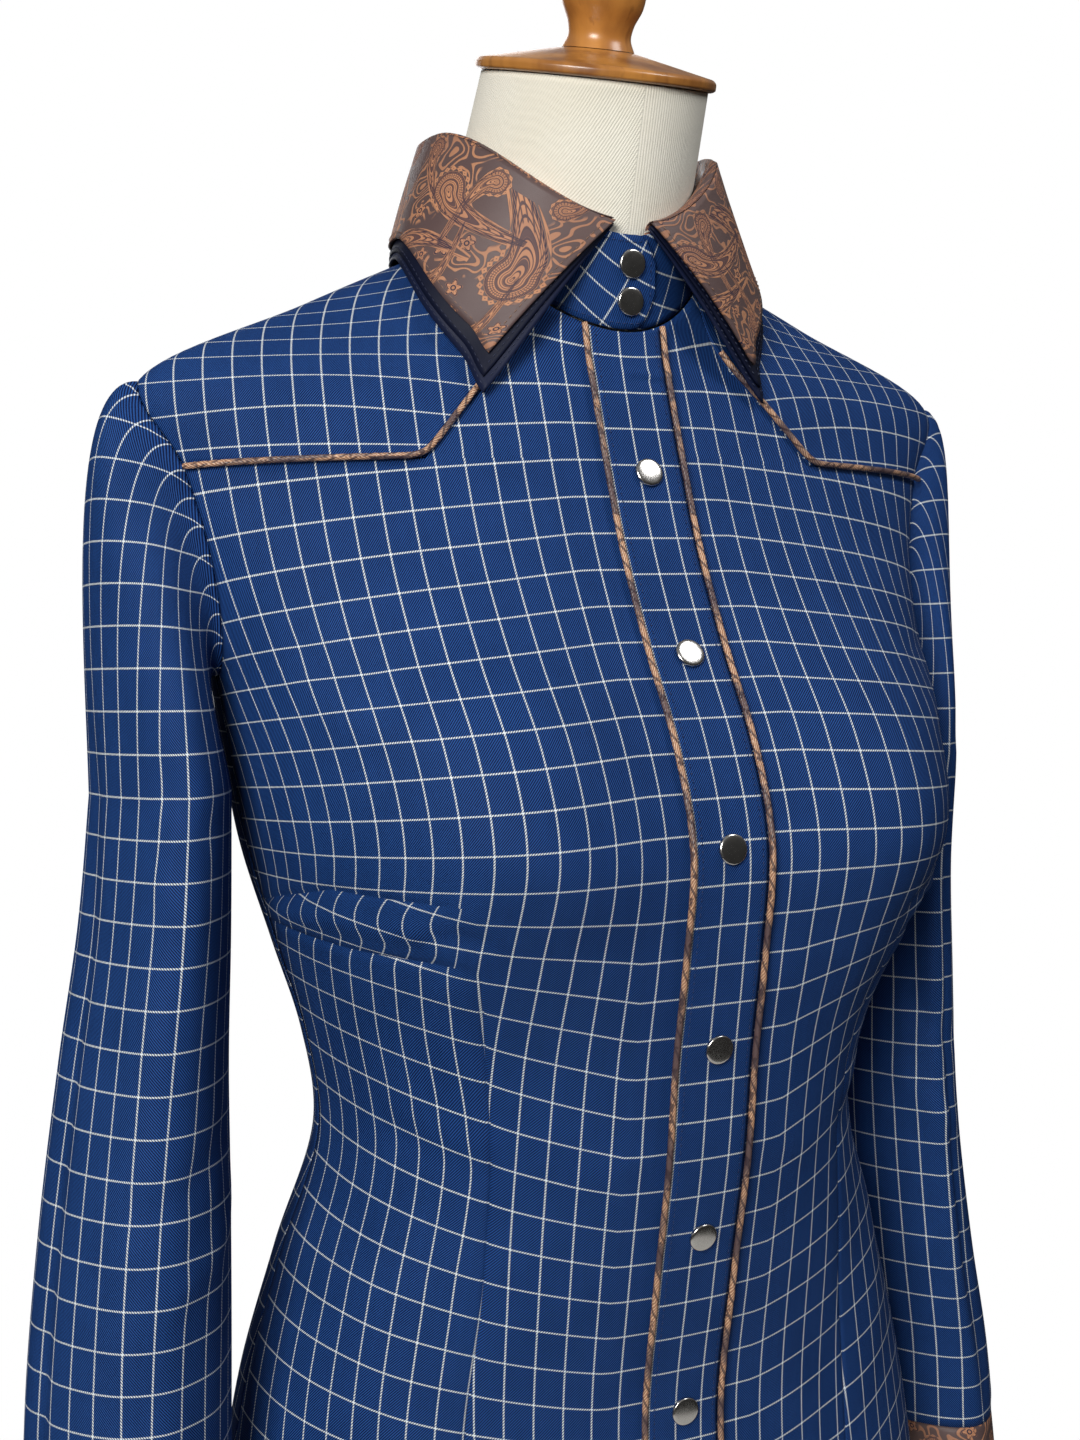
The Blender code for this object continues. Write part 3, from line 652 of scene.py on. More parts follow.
def close_ends(made):
    """Fills the open rings at a tube's ends and turns every face outward."""
    mesh = bmesh.new()
    mesh.from_mesh(made.data)
    bmesh.ops.holes_fill(mesh, edges=[e for e in mesh.edges if e.is_boundary])
    bmesh.ops.recalc_face_normals(mesh, faces=mesh.faces)
    mesh.to_mesh(made.data)
    mesh.free()


def arc(points, axis):
    """Distances walked along a grid's axis, from its first row or column."""
    steps = np.linalg.norm(np.diff(points, axis=axis), axis=-1)
    pad = [(0, 0)] * steps.ndim
    pad[axis] = (1, 0)
    return np.cumsum(np.pad(steps, pad), axis=axis)


def read_line(line, walked, at):
    """Points on a line at the distances walked along it."""
    return np.stack([np.interp(at, walked, line[:, k]) for k in range(3)], -1)


def crease(a, b, start, end, width, depth, bow=0.0):
    """A soft trough (depth below 0) or ridge over a plane of a and b, from start to end."""
    start = np.asarray(start, float)
    end = np.asarray(end, float)
    run = end - start
    length = np.hypot(*run)
    along = ((a - start[0]) * run[0] + (b - start[1]) * run[1]) / length**2
    side = ((a - start[0]) * run[1] - (b - start[1]) * run[0]) / length
    side = side + bow * (1 - (2 * along - 1) ** 2)
    fade = smoothstep(-0.12, 0.25, along) * (1 - smoothstep(0.75, 1.12, along))
    return depth * fade * np.exp(-((side / width) ** 2))


def lifted(points, heights):
    """The grid moved along its own normals."""
    sideways = np.gradient(points, axis=1)
    upward = np.gradient(points, axis=0)
    return points + unit(np.cross(sideways, upward)) * heights[..., None]


def tube(name, line, nodes, seed, sides=10, uneven=0.05):
    """A piping cord along a line, with slightly uneven gathers."""
    line = np.asarray(line, float)
    forward = unit(np.gradient(line, axis=0))
    first = np.array((0.31, -0.2, 0.93)) if abs(forward[0][2]) < 0.9 else np.array((1.0, 0.1, 0.1))
    side = unit(np.cross(forward, np.broadcast_to(first, forward.shape)))
    over = np.cross(side, forward)
    turns = np.linspace(0, 2 * np.pi, sides, endpoint=False)
    walked = arc(line, 0)
    random = np.random.default_rng(seed)
    wave = random.uniform(-1, 1, (len(line), sides))
    wave = (wave + np.roll(wave, 1, 0) + np.roll(wave, -1, 0)) / 2
    size = PIPING_RADIUS * (1 + uneven * wave)
    points = line[:, None] + size[..., None] * (
        side[:, None] * np.cos(turns)[None, :, None] + over[:, None] * np.sin(turns)[None, :, None]
    )
    uv = np.stack(np.broadcast_arrays(turns[None, :] * PIPING_RADIUS, walked[:, None]), -1)
    made = grid(name, points, uv, PIPING, nodes, wrap=True, flip=True, thick=0)
    close_ends(made)
    return made


def walk(line, step):
    """The line again, with its points a set distance apart."""
    line = np.asarray(line, float)
    walked = arc(line, 0)
    count = max(2, int(round(walked[-1] / step)) + 1)
    at = np.linspace(0, walked[-1], count)
    return read_line(line, walked, at)


STITCH_LENGTH = 2.0
STITCH_GAP = 1.0
STITCH_RADIUS = 0.2
# A stitch is a spindle with this many sides, thinner at its ends.
STITCH_SIDES = 5
STITCH_END = 0.55


def stitches(name, lines, outward, material):
    """Short threads along lines, joined in one mesh. outward gives each line's way off the cloth."""
    verts = []
    faces = []
    for line, out in zip(lines, outward):
        line = np.asarray(line, float)
        walked = arc(line, 0)
        pitch = STITCH_LENGTH + STITCH_GAP
        count = int(walked[-1] / pitch)
        for k in range(count):
            at = np.array((k * pitch + 0.2, k * pitch + STITCH_LENGTH))
            ends = read_line(line, walked, at)
            forward = unit(ends[1] - ends[0])
            off = unit(read_line(out, walked, at)[0])
            side = np.cross(forward, off)
            base = len(verts)
            middle = (ends[0] + ends[1]) / 2 + off * STITCH_RADIUS * 0.9
            for point, size in ((ends[0], STITCH_END), (middle, 1.0), (ends[1], STITCH_END)):
                for corner in range(STITCH_SIDES):
                    turn = math.radians(corner * 360 / STITCH_SIDES)
                    spoke = side * math.cos(turn) + off * math.sin(turn)
                    verts.append(point + spoke * STITCH_RADIUS * size)
            for ring_start in (base, base + STITCH_SIDES):
                for corner in range(STITCH_SIDES):
                    here = ring_start + corner
                    beside = ring_start + (corner + 1) % STITCH_SIDES
                    faces.append((here, beside, beside + STITCH_SIDES, here + STITCH_SIDES))
            faces.append(tuple(base + corner for corner in reversed(range(STITCH_SIDES))))
            faces.append(tuple(base + 2 * STITCH_SIDES + corner for corner in range(STITCH_SIDES)))
    mesh = bpy.data.meshes.new(name)
    mesh.from_pydata([tuple(np.asarray(v) * MM) for v in verts], [], faces)
    return keep(name, mesh, material, ())


def turned(name, profile, material, nodes, segments=96, place=None):
    """A turned piece. The profile is (radius, height) in millimetres, from bottom to top."""
    radii = np.array([row[0] for row in profile], float)
    heights = np.array([row[1] for row in profile], float)
    turns = np.linspace(0, 2 * np.pi, segments, endpoint=False)
    points = np.stack(
        np.broadcast_arrays(
            radii[:, None] * np.cos(turns), radii[:, None] * np.sin(turns), heights[:, None]
        ),
        -1,
    )
    steps = np.hypot(np.diff(radii, prepend=radii[0]), np.diff(heights, prepend=heights[0]))
    walked = np.cumsum(steps)
    uv = np.stack(np.broadcast_arrays(turns[None, :] * 20, walked[:, None]), -1)
    made = grid(name, points, uv, material, nodes, wrap=True, thick=0)
    close_ends(made)
    made.data.set_sharp_from_angle(angle=math.radians(50))
    if place is not None:
        made.data.transform(place)
    return made


def rounded(profile, radius):
    """The profile with its inner corners rounded."""
    result = [profile[0]]
    for before, corner, after in zip(profile, profile[1:], profile[2:]):
        before, corner, after = (np.array(p, float) for p in (before, corner, after))
        back = before - corner
        ahead = after - corner
        reach = min(radius, np.hypot(*back) * 0.45, np.hypot(*ahead) * 0.45)
        start = corner + back / np.hypot(*back) * reach
        end = corner + ahead / np.hypot(*ahead) * reach
        for t in np.linspace(0, 1, 5):
            result.append(tuple((1 - t) ** 2 * start + 2 * t * (1 - t) * corner + t**2 * end))
    result.append(profile[-1])
    return result


# Fronts.

# The waist dart: angle from the centre front, and how much cloth it takes in, by level.
DART = (
    (-205, 27, 0), (-150, 30, 0), (-91, 33, 6), (-34, 36, 13),
    (22, 41, 17), (45, 41.3, 13), (72, 41.2, 6.5), (100, 40, 0),
)
DART_TIP = 100
# The two side darts: levels at the side seam, halfway and at the tip.
UPPER_DART = (120, 130, 126)
LOWER_DART = (112, 106, 102)
# How the weft lines tilt on a front, by level: millimetres of rise in each one, out from TILT_FROM.
TILT = (
    (-205, -0.12), (-90, -0.2), (0, -0.25), (88, -0.24),
    (134, 0.0), (180, 0.07), (245, 0.11), (294, 0.05),
)
TILT_FROM = 34
# The tilt between the side darts and below them, and how much of it fades by the side seam.
BAND_TILT = -0.32
LOW_TILT = -0.27
TILT_FADES = 0.28
# Shares of a waist dart's cloth that are lost inside and outside its seam.
LOST_INSIDE = 0.14
LOST_OUTSIDE = 0.86
# The level where the stand's seam gap starts.
LEVEL_TOP = 411.2
# Where the check falls on each panel, in millimetres.
FRONT_PHASE = {RIGHT: (-1.5, 0.0), LEFT: (3.0, 0.8)}
YOKE_PHASE = {RIGHT: (4.0, 1.5), LEFT: (-3.0, 4.0)}
BACK_PHASE = (5.8, 3)
PLACKET_PHASE = (9.5, 3.0)


def dart_column(level):
    """The angle of the column that follows the waist dart, and higher up leads to the yoke's corner."""
    rows = np.array([row[:2] for row in DART] + [(200, 36.5), (LEVEL_YOKE, 0)], float)
    rows[-1][1] = angle_at(YOKE_CORNER_X - SEAM_GAP / 2, LEVEL_YOKE)
    return hermite(rows[:, 0], rows[:, 1], level)


def taken_in(level):
    rows = np.array(DART, float)
    return np.clip(hermite(rows[:, 0], rows[:, 2], level), 0, None) * (level < DART_TIP)


CENTRE_LEVELS = np.linspace(-240, LEVEL_NECK, 330)
CENTRE_LINE = arc(surface(np.zeros(330), CENTRE_LEVELS), 0)


def height_of(level):
    """The cloth's v at the centre front, in millimetres from the waist line."""
    return np.interp(level, CENTRE_LEVELS, CENTRE_LINE) - np.interp(0, CENTRE_LEVELS, CENTRE_LINE)


INNER = 26
OUTER = 44
LOW_ROWS = 84
BAND_ROWS = 14
HIGH_ROWS = 46
NECK_ROWS = 24


def cells_of(values):
    """A corner-shared grid of values as separate cells."""
    return np.stack([values[:-1, :-1], values[:-1, 1:], values[1:, 1:], values[1:, :-1]], 2)


def front_creases(side, out, level, share):
    """The height of a front's creases over the cloth, in millimetres."""
    h = np.zeros_like(out)
    # Puff between the side darts and the pull lines round their tips.
    band_low = np.interp(share, (0, 0.5, 1), LOWER_DART[::-1])
    band_high = np.interp(share, (0, 0.5, 1), UPPER_DART[::-1])
    middle = (band_low + band_high) / 2
    reach = smoothstep(0.0, 0.25, share) * (1 - 0.6 * smoothstep(0.75, 1, share))
    h += 2.0 * reach * np.exp(-(((level - middle) / 5.5) ** 2))
    h -= 1.2 * reach * np.exp(-(((level - band_low) / 1.6) ** 2))
    h -= 1.0 * reach * np.exp(-(((level - band_high) / 1.6) ** 2))
    h += crease(out, level, (130, 122), (96, 103), 4.5, 1.1, 2)
    h -= crease(out, level, (124, 113), (92, 110), 3.5, 1.3, -3)
    h += crease(out, level, (112, 96), (88, 88), 6, 0.7, 0)
    # Pulls from the armhole towards the bust.
    h += crease(out, level, (168, 214), (118, 186), 8, 0.9, 6)
    h -= crease(out, level, (160, 226), (118, 214), 7, 1.0, 5)
    # Waist folds.
    h += crease(out, level, (135, 44), (72, 28), 7, 0.9, 3)
    h -= crease(out, level, (140, 30), (80, 10), 8, 0.9, -3)
    h += crease(out, level, (60, 12), (18, 26), 6, 0.6, 2)
    h += crease(out, level, (132, -10), (100, -120), 16, 1.1, 6)
    h -= crease(out, level, (96, -40), (74, -170), 15, 1.1, -4)
    h += crease(out, level, (46, -60), (40, -190), 15, 0.8, 3)
    if side == LEFT:
        h += crease(out, level, (30, 210), (90, 160), 16, 0.5, 4)
    else:
        h -= crease(out, level, (34, 300), (90, 230), 18, 0.5, 3)
    return h


def front_panel(side):
    """One front: below the yoke from the placket to the side, and inside the yoke up to the neck."""
    low_shares = np.linspace(0, 1, INNER + OUTER + 1)
    columns = np.arange(INNER + OUTER + 1)
    share_in = 1 - (1 - np.clip(columns / INNER, 0, 1)) ** 1.6
    share_out = np.clip((columns - INNER) / OUTER, 0, 1) ** 1.5
    hem = hem_level(low_shares)
    lower = np.interp(share_out, (0, 0.5, 1), LOWER_DART[::-1])
    upper = np.interp(share_out, (0, 0.5, 1), UPPER_DART[::-1])
    top = LEVEL_YOKE - SEAM_GAP
    rows = [hem + (lower - hem) * (1 - (1 - t) ** 1.4) for t in np.linspace(0, 1, LOW_ROWS + 1)]
    band = smoothstep(0, 1, np.linspace(0, 1, BAND_ROWS + 1)[1:])
    rows += [lower + (upper - lower) * t for t in band]
    rows += [upper + (top - upper) * t**1.4 for t in np.linspace(0, 1, HIGH_ROWS + 1)[1:]]
    levels = np.array(rows)
    start = angle_at(SEAM_GAP / 2, levels)
    dart = dart_column(levels)
    edge = 90 - side_edge(levels, ARMHOLE_FRONT)
    angles = start + (dart - start) * share_in + (edge - dart) * share_out
    points = body(side * angles, levels)
    out = arc(points, 1)
    height = height_of(levels)
    at_dart = out[:, INNER][:, None]
    at_side = out[:, -1][:, None]
    tilt_rows = np.array(TILT)
    tilt = hermite(tilt_rows[:, 0], tilt_rows[:, 1], levels)
    ramp_dart = np.clip(at_dart - TILT_FROM, 0, None)
    inside = height + tilt * np.clip(out - TILT_FROM, 0, None)
    beyond = np.clip(out - at_dart, 0, None)
    chest = np.where(levels > 110, tilt, 0.0)
    v_high = height + tilt * ramp_dart + np.maximum(chest, 0) * beyond
    fading = beyond * (1 - TILT_FADES * beyond / np.maximum(at_side - at_dart, 1))
    v_band = height + tilt * ramp_dart + BAND_TILT * fading
    v_low = height + tilt * ramp_dart + LOW_TILT * fading
    intake = taken_in(levels)
    u_in = out - LOST_INSIDE * intake * np.clip(out / at_dart, 0, 1) ** 2
    u_out = out + LOST_OUTSIDE * intake
    in_band = np.clip((levels - lower) / (upper - lower), 0, 1)
    sway = 2.4 * np.sin(2 * np.pi * in_band) + 1.5
    u_band = u_out + smoothstep(0, 18, beyond) * (sway + 2.5)

    u_cells = cells_of(u_in)
    v_cells = cells_of(inside)
    row_at, column_at = np.indices(u_cells.shape[:2])
    is_out = column_at >= INNER
    is_low = is_out & (row_at < LOW_ROWS)
    is_band = is_out & (row_at >= LOW_ROWS) & (row_at < LOW_ROWS + BAND_ROWS)
    is_high = is_out & (row_at >= LOW_ROWS + BAND_ROWS)
    zones = ((is_low, u_out, v_low), (is_band, u_band, v_band), (is_high, out, v_high))
    for mask, u_value, v_value in zones:
        u_cells[mask] = cells_of(u_value)[mask]
        v_cells[mask] = cells_of(v_value)[mask]
    heights = front_creases(side, out, levels, share_out)
    # A groove along the waist dart.
    groove = smoothstep(-150, -110, levels) * (1 - smoothstep(88, 102, levels))
    heights -= 0.9 * groove * np.exp(-(((out - at_dart) / 1.0) ** 2))
    heights -= 0.4 * groove * np.exp(-(((out - at_dart) / 5.0) ** 2))
    # No relief next to a seam.
    heights *= smoothstep(0, 10, out - 14) * smoothstep(0, 6, at_side - out + 1)
    heights *= smoothstep(0, 8, top - levels + 1)
    # The neck part.
    neck_levels = np.linspace(LEVEL_YOKE, LEVEL_TOP, NECK_ROWS + 1)
    scale = (yoke_x(neck_levels) - SEAM_GAP / 2)[:, None]
    xs = np.maximum(scale * share_in[None, : INNER + 1], SEAM_GAP / 2)
    neck_angles = angle_at(xs, neck_levels[:, None])
    neck = body(side * neck_angles, neck_levels[:, None])
    neck_out = arc(neck, 1)
    neck_height = height_of(neck_levels)[:, None]
    neck_height = neck_height + tilt_rows[-1][1] * np.clip(neck_out - TILT_FROM, 0, None)
    made_points = lifted(points, heights * side)
    phase = FRONT_PHASE[side]
    uv = np.stack([u_cells * side + phase[0], v_cells + phase[1]], -1)
    neck[0] = made_points[-1, : INNER + 1]
    neck_uv = cells_of(np.stack([neck_out * side + phase[0], neck_height + phase[1]], -1))
    whole = np.concatenate([made_points, np.zeros((NECK_ROWS, made_points.shape[1], 3))])
    whole[-NECK_ROWS:, : INNER + 1] = neck[1:]
    whole_uv = np.zeros((whole.shape[0] - 1, whole.shape[1] - 1, 4, 2))
    whole_uv[: uv.shape[0]] = uv
    whole_uv[-NECK_ROWS:, :INNER] = neck_uv
    shown = np.ones(whole_uv.shape[:2], bool)
    shown[-NECK_ROWS:, INNER:] = False
    return grid(
        f"cloth_front_{WORD[side]}", whole, whole_uv, CHECK, [f"front_{WORD[side]}"],
        flip=side == RIGHT, shown=shown,
    )


def front_yoke(side):
    levels = np.linspace(LEVEL_YOKE + SEAM_GAP, LEVEL_TOP, 40)
    shares = np.linspace(0, 1, 46)
    inner = angle_at(yoke_x(levels) + SEAM_GAP / 2, levels)[:, None]
    outer = (90 - side_edge(levels, ARMHOLE_FRONT, 0.8))[:, None]
    angles = inner + (outer - inner) * shares
    points = body(side * angles, levels[:, None])
    to_yoke = body(side * np.linspace(0, 1, 30)[None, :] * inner, levels[:, None])
    start = arc(to_yoke, 1)[:, -1:]
    out = start + arc(points, 1)
    up = arc(points, 0)
    phase = YOKE_PHASE[side]
    uv = np.stack([out * side + phase[0], up + phase[1]], -1)
    return grid(
        f"cloth_yoke_front_{WORD[side]}", points, uv, CHECK,
        [f"yoke_front_{WORD[side]}"], flip=side == RIGHT,
    )


# Millimetres from the centre back to a long dart.
BACK_DART = 62


def back_panel():
    steps = np.linspace(0, 1, 130)
    shares = np.linspace(-1, 1, 121)
    low = hem_level(shares)[None, :]
    levels = low + (LEVEL_YOKE - SEAM_GAP - low) * steps[:, None]
    outer = 90 - side_edge(levels, ARMHOLE_BACK)
    angles = 180 + shares * outer
    points = body(angles, levels)
    walked = arc(points, 1)
    out = walked - walked[:, 60][:, None]
    heights = np.zeros_like(out)
    for side in (-1, 1):
        o = out * side
        # Long darts, the waist's cross folds and the soft flutes over the hips.
        dart = smoothstep(-110, -60, levels) * (1 - smoothstep(110, 150, levels))
        heights -= 0.9 * dart * np.exp(-(((o - BACK_DART) / 2.6) ** 2))
        heights += crease(o, levels, (16, 40), (120, 62), 8, 1.3, 4)
        heights -= crease(o, levels, (10, 22), (112, 34), 7, 1.4, 3)
        heights += crease(o, levels, (22, 6), (128, 12), 8, 1.2, -4)
        heights += crease(o, levels, (52, -40), (58, -190), 17, 1.8, 5)
        heights -= crease(o, levels, (92, -30), (102, -170), 16, 1.6, -4)
        heights += crease(o, levels, (150, 206), (84, 130), 13, 1.4, 8)
        heights -= crease(o, levels, (138, 232), (76, 176), 12, 1.3, 8)
    heights += crease(out, levels, (-40, 84), (52, 74), 9, 0.9, 3)
    heights -= crease(out, levels, (4, -70), (-6, -200), 14, 1.3, 4)
    heights *= smoothstep(0, 8, out - out[:, :1] + 1) * smoothstep(0, 8, out[:, -1:] - out + 1)
    heights *= smoothstep(0, 8, LEVEL_YOKE - levels)
    intake = 14 * smoothstep(-110, 20, levels) * (1 - smoothstep(20, 140, levels))
    centre = (out[:-1, :-1] + out[1:, 1:]) / 2
    outside = (np.abs(centre) > BACK_DART)[..., None]
    u_cells = cells_of(out) + np.where(outside, np.sign(centre)[..., None] * cells_of(intake), 0)
    uv = np.stack([u_cells + BACK_PHASE[0], cells_of(height_of(levels)) + BACK_PHASE[1]], -1)
    return grid("cloth_back", lifted(points, heights), uv, CHECK, ["back"])


def back_yoke():
    levels = np.linspace(LEVEL_YOKE + SEAM_GAP, LEVEL_TOP, 52)
    shares = np.linspace(-1, 1, 101)
    outer = 90 - side_edge(levels, ARMHOLE_BACK, 0.8)
    angles = 180 + shares[None, :] * outer[:, None]
    points = body(angles, levels[:, None])
    walked = arc(points, 1)
    out = walked - walked[:, 50][:, None]
    up = arc(points, 0)[:, 50][:, None] + np.zeros_like(out)
    uv = np.stack([out + BACK_PHASE[0], up], -1)
    return grid("cloth_yoke_back", points, uv, CHECK, ["yoke_back"])


PLACKET_LEVELS = np.concatenate([np.linspace(LEVEL_HEM_FRONT, 293, 150), np.linspace(296, 409, 40)])


def placket_wave(level, x):
    """The jog near the placket's top and its slow waves, in millimetres off the body."""
    wave = 0.5 * np.sin(level / 23.0 + 0.7)
    wave = wave * smoothstep(-200, -140, level) * (1 - smoothstep(230, 290, level))
    jog = crease(x, level, (16, 352), (-4, 360), 4.5, 0.9, 1)
    jog -= crease(x, level, (15, 344), (0, 350), 3.5, 0.6, 1)
    return np.maximum(wave * 0.5, 0) + np.maximum(jog, -0.3)


def placket():
    xs = np.linspace(-PLACKET_HALF_WIDTH, PLACKET_HALF_WIDTH, 19)
    levels = PLACKET_LEVELS[:, None] + np.zeros((1, 19))
    across_strip = xs[None, :] + np.zeros_like(levels)
    lift = PLACKET_LIFT + placket_wave(levels, across_strip)
    points = body(angle_at(across_strip, levels), levels, lift)
    rim = np.abs(across_strip) / PLACKET_HALF_WIDTH
    points = points + np.array((0, 1, 0)) * (smoothstep(0.86, 1.0, rim) * 0.5)[..., None]
    uv = np.stack([across_strip + PLACKET_PHASE[0], height_of(levels) + PLACKET_PHASE[1]], -1)
    return grid("cloth_placket", points, uv, CHECK, ["placket"])


def strip_line(x, lift):
    """The placket's length at one distance from its middle, from the hem up."""
    return body(angle_at(x, PLACKET_LEVELS), PLACKET_LEVELS, lift)


def placket_piping(side):
    x = side * (PLACKET_HALF_WIDTH + 0.35 + PIPING_RADIUS)
    wave = placket_wave(PLACKET_LEVELS, np.full(PLACKET_LEVELS.shape, side * 15.0))
    line = walk(strip_line(x, PIPING_LIFT + wave), PIPING_STEP)
    tube(f"trim_placket_{WORD[side]}", line, [f"piping_placket_{WORD[side]}"], 5 + side)


def yoke_line(side):
    """A front yoke's edge from the armhole to its corner and up under the collar."""
    outer = 90 - side_edge(LEVEL_YOKE, ARMHOLE_FRONT) - 1.2
    corner = angle_at(YOKE_CORNER_X, LEVEL_YOKE)
    angles = np.linspace(outer, corner, 40)
    flat = body(side * angles, LEVEL_YOKE, PIPING_LIFT)
    levels = np.linspace(LEVEL_YOKE + 2, 372, 40)
    rising = body(side * angle_at(yoke_x(levels), levels), levels, PIPING_LIFT)
    return np.concatenate([flat, rising])


def rounded_line(line):
    """The line with its corner softened."""
    line = line.copy()
    for _ in range(10):
        line[1:-1] = (line[:-2] + 2 * line[1:-1] + line[2:]) / 4
    return line


def yoke_piping(side):
    line = walk(rounded_line(walk(yoke_line(side), 2.0)), PIPING_STEP)
    tube(f"trim_yoke_{WORD[side]}", line, [f"piping_yoke_{WORD[side]}"], 9 + side)


def back_piping():
    outer = 90 - side_edge(LEVEL_YOKE, ARMHOLE_BACK) - 1.2
    angles = 180 + np.linspace(-1, 1, 200) * outer
    line = walk(body(angles, LEVEL_YOKE, PIPING_LIFT), PIPING_STEP)
    tube("trim_yoke_back", line, ["piping_yoke_back"], 20)


# Collar.

STAND_LEAN_FRONT = 0.1
STAND_LEAN_BACK = -0.06
STAND_RISE_BACK = 0.08
STAND_TAB = 13
STAND_GRAIN = 62
STAND_PHASE = (3.0, 2.0)
COLLAR_PHASE = (0.0, 66.0)
INSIDE_PHASE = 30
STAND_OVERLAP_LIFT = CLOTH + 0.35 + 0.15
NECK_AXIS = np.array((0, -0.26, 0.966))


def stand_point(turn, height, lift=0.0):
    turn, height, lift = np.broadcast_arrays(
        np.asarray(turn, float), np.asarray(height, float), np.asarray(lift, float)
    )
    seam = surface(turn, np.full(turn.shape, float(LEVEL_NECK)))
    outward = unit(seam * np.array((1, 1, 0)))
    behind = (1 - np.cos(np.radians(turn))) / 2
    lean = STAND_LEAN_FRONT + (STAND_LEAN_BACK - STAND_LEAN_FRONT) * np.minimum(1.0, 1.6 * behind)
    rise = height * (1 + STAND_RISE_BACK * behind)
    return seam + NECK_AXIS * rise[..., None] + outward * (lift - lean * height)[..., None]


def stand_lift(turn):
    return STAND_OVERLAP_LIFT * np.clip((turn + 26) / 22, 0.0, 1.0)


def collar_stand():
    # Rows stand closest at the tab's round end.
    tab = np.array((STAND_TAB, 12.6, 12.0, 11.0, 9.5, 7.5, 5, 2))
    rest = [np.linspace(-1, -26, 14), np.linspace(-30, -330, 90), np.linspace(-333, -358, 10)]
    turns = np.concatenate([tab, *rest])
    shares = np.linspace(0, 1, 15)
    end = np.clip((turns - 3) / (STAND_TAB - 3), 0, 1)
    pinch = 1 - np.sqrt(np.clip(1 - end**2, 0.12, 1))
    low = 0.5 * pinch
    high = 1 - 0.5 * pinch
    heights = 0.8 + (STAND_HEIGHT - 0.8) * (low[:, None] + (high - low)[:, None] * shares[None, :])
    turn_grid = turns[:, None] + np.zeros_like(heights)
    points = stand_point(turn_grid, heights, stand_lift(turn_grid))
    along = -arc(points, 0)[:, 7][:, None] + np.zeros_like(heights)
    angle = math.radians(STAND_GRAIN)
    u = along * math.cos(angle) + heights * math.sin(angle) + STAND_PHASE[0]
    v = heights * math.cos(angle) - along * math.sin(angle) + STAND_PHASE[1]
    line_inside()
    uv = np.stack([u, v], -1)
    return grid("cloth_collar_stand", points, uv, CHECK, ["collar_stand"])


# The figured cloth inside the stand and over its top edge to the leaf's fold: lift and height.
INSIDE_PROFILE = (
    (-0.82, 1), (-0.82, 8), (-0.82, 15), (-0.82, 22), (-0.82, 29), (-0.82, 36), (-0.82, 40.2),
    (-0.4, 41.6), (0.7, 42.8), (2.4, 43.5), (4.2, 43.5), (5.4, 42.9),
)


def line_inside():
    turns = np.linspace(-9, -351, 110)[:, None] + np.zeros((1, len(INSIDE_PROFILE)))
    lifts, heights = np.array(INSIDE_PROFILE).T
    points = stand_point(turns, heights[None, :] + 0 * turns, lifts[None, :] + stand_lift(turns))
    uv = np.stack([arc(points, 0) + INSIDE_PHASE, arc(points, 1)], -1)
    return grid("cloth_stand_inside", points, uv, PAISLEY, thick=0.2)


LEAF_COLUMNS = ("share", "fold_turn", "edge_turn", "edge_level", "edge_lift", "roll")
LEAF = np.array(
    (
        (0.00, 180, 180, 398, 4.5, 2.4),
        (0.20, 146, 148, 400, 4.5, 1.4),
        (0.40, 112, 114, 402, 4.7, 0.4),
        (0.58, 80, 82, 400, 4.8, 0.1),
        (0.74, 50, 57, 389, 4.9, 0.3),
        (0.88, 26, 39, 371, 4.7, 1.2),
        (1.00, 8, 29, 351, 4.5, 2.0),
    )
)


def leaf_value(name, share):
    return hermite(LEAF[:, 0], LEAF[:, LEAF_COLUMNS.index(name)], share)


def leaf_point(side, share, down, layer):
    """A point of the folded collar: share along it, down from its fold, layer millimetres off the body."""
    share = np.minimum(share, 1.0)
    fold_height = STAND_HEIGHT + 0.8 + layer * 0.5
    fold = stand_point(side * leaf_value("fold_turn", share), fold_height, layer)
    lift = leaf_value("edge_lift", share) + layer
    edge = body(side * leaf_value("edge_turn", share), leaf_value("edge_level", share), lift)
    outward = unit((fold + edge) * np.array((1, 1, 0))) + np.array((0, 0, 0.5))
    roll = leaf_value("roll", share) * np.sin(np.pi * np.minimum(down, 1.0))
    return fold + (edge - fold) * down[..., None] + outward * roll[..., None]


def leaf_grid(layer, reach, end_reach):
    """One collar layer from its right point to its left one: (stations, downs, xyz).

    reach lengthens the leaf by a share of its depth, and end_reach its front edges by millimetres.
    """
    shares = np.concatenate([np.linspace(0, 0.8, 44), np.linspace(0.8, 1, 30)[1:]])
    downs = np.linspace(0, 1, 27)
    halves = []
    for side in (RIGHT, LEFT):
        share, down = np.meshgrid(shares, downs, indexing="ij")
        points = leaf_point(side, share, down * (1 + reach), layer)
        ahead = leaf_point(side, np.ones_like(share), down, layer)
        behind = leaf_point(side, np.full_like(share, 0.93), down, layer)
        forward = unit(ahead - behind)
        push = end_reach * down * np.clip(share - 0.8, 0, None) / 0.2
        halves.append(points + forward * push[..., None])
    return np.concatenate([halves[0][::-1], halves[1][1:]])


def leaf_uv(points):
    """Distances along a layer from the centre back, and down from its fold."""
    along = arc(points, 0)
    along = along - along[points.shape[0] // 2]
    along = along[:, points.shape[1] // 2][:, None] + np.zeros(points.shape[:2])
    return along, arc(points, 1)


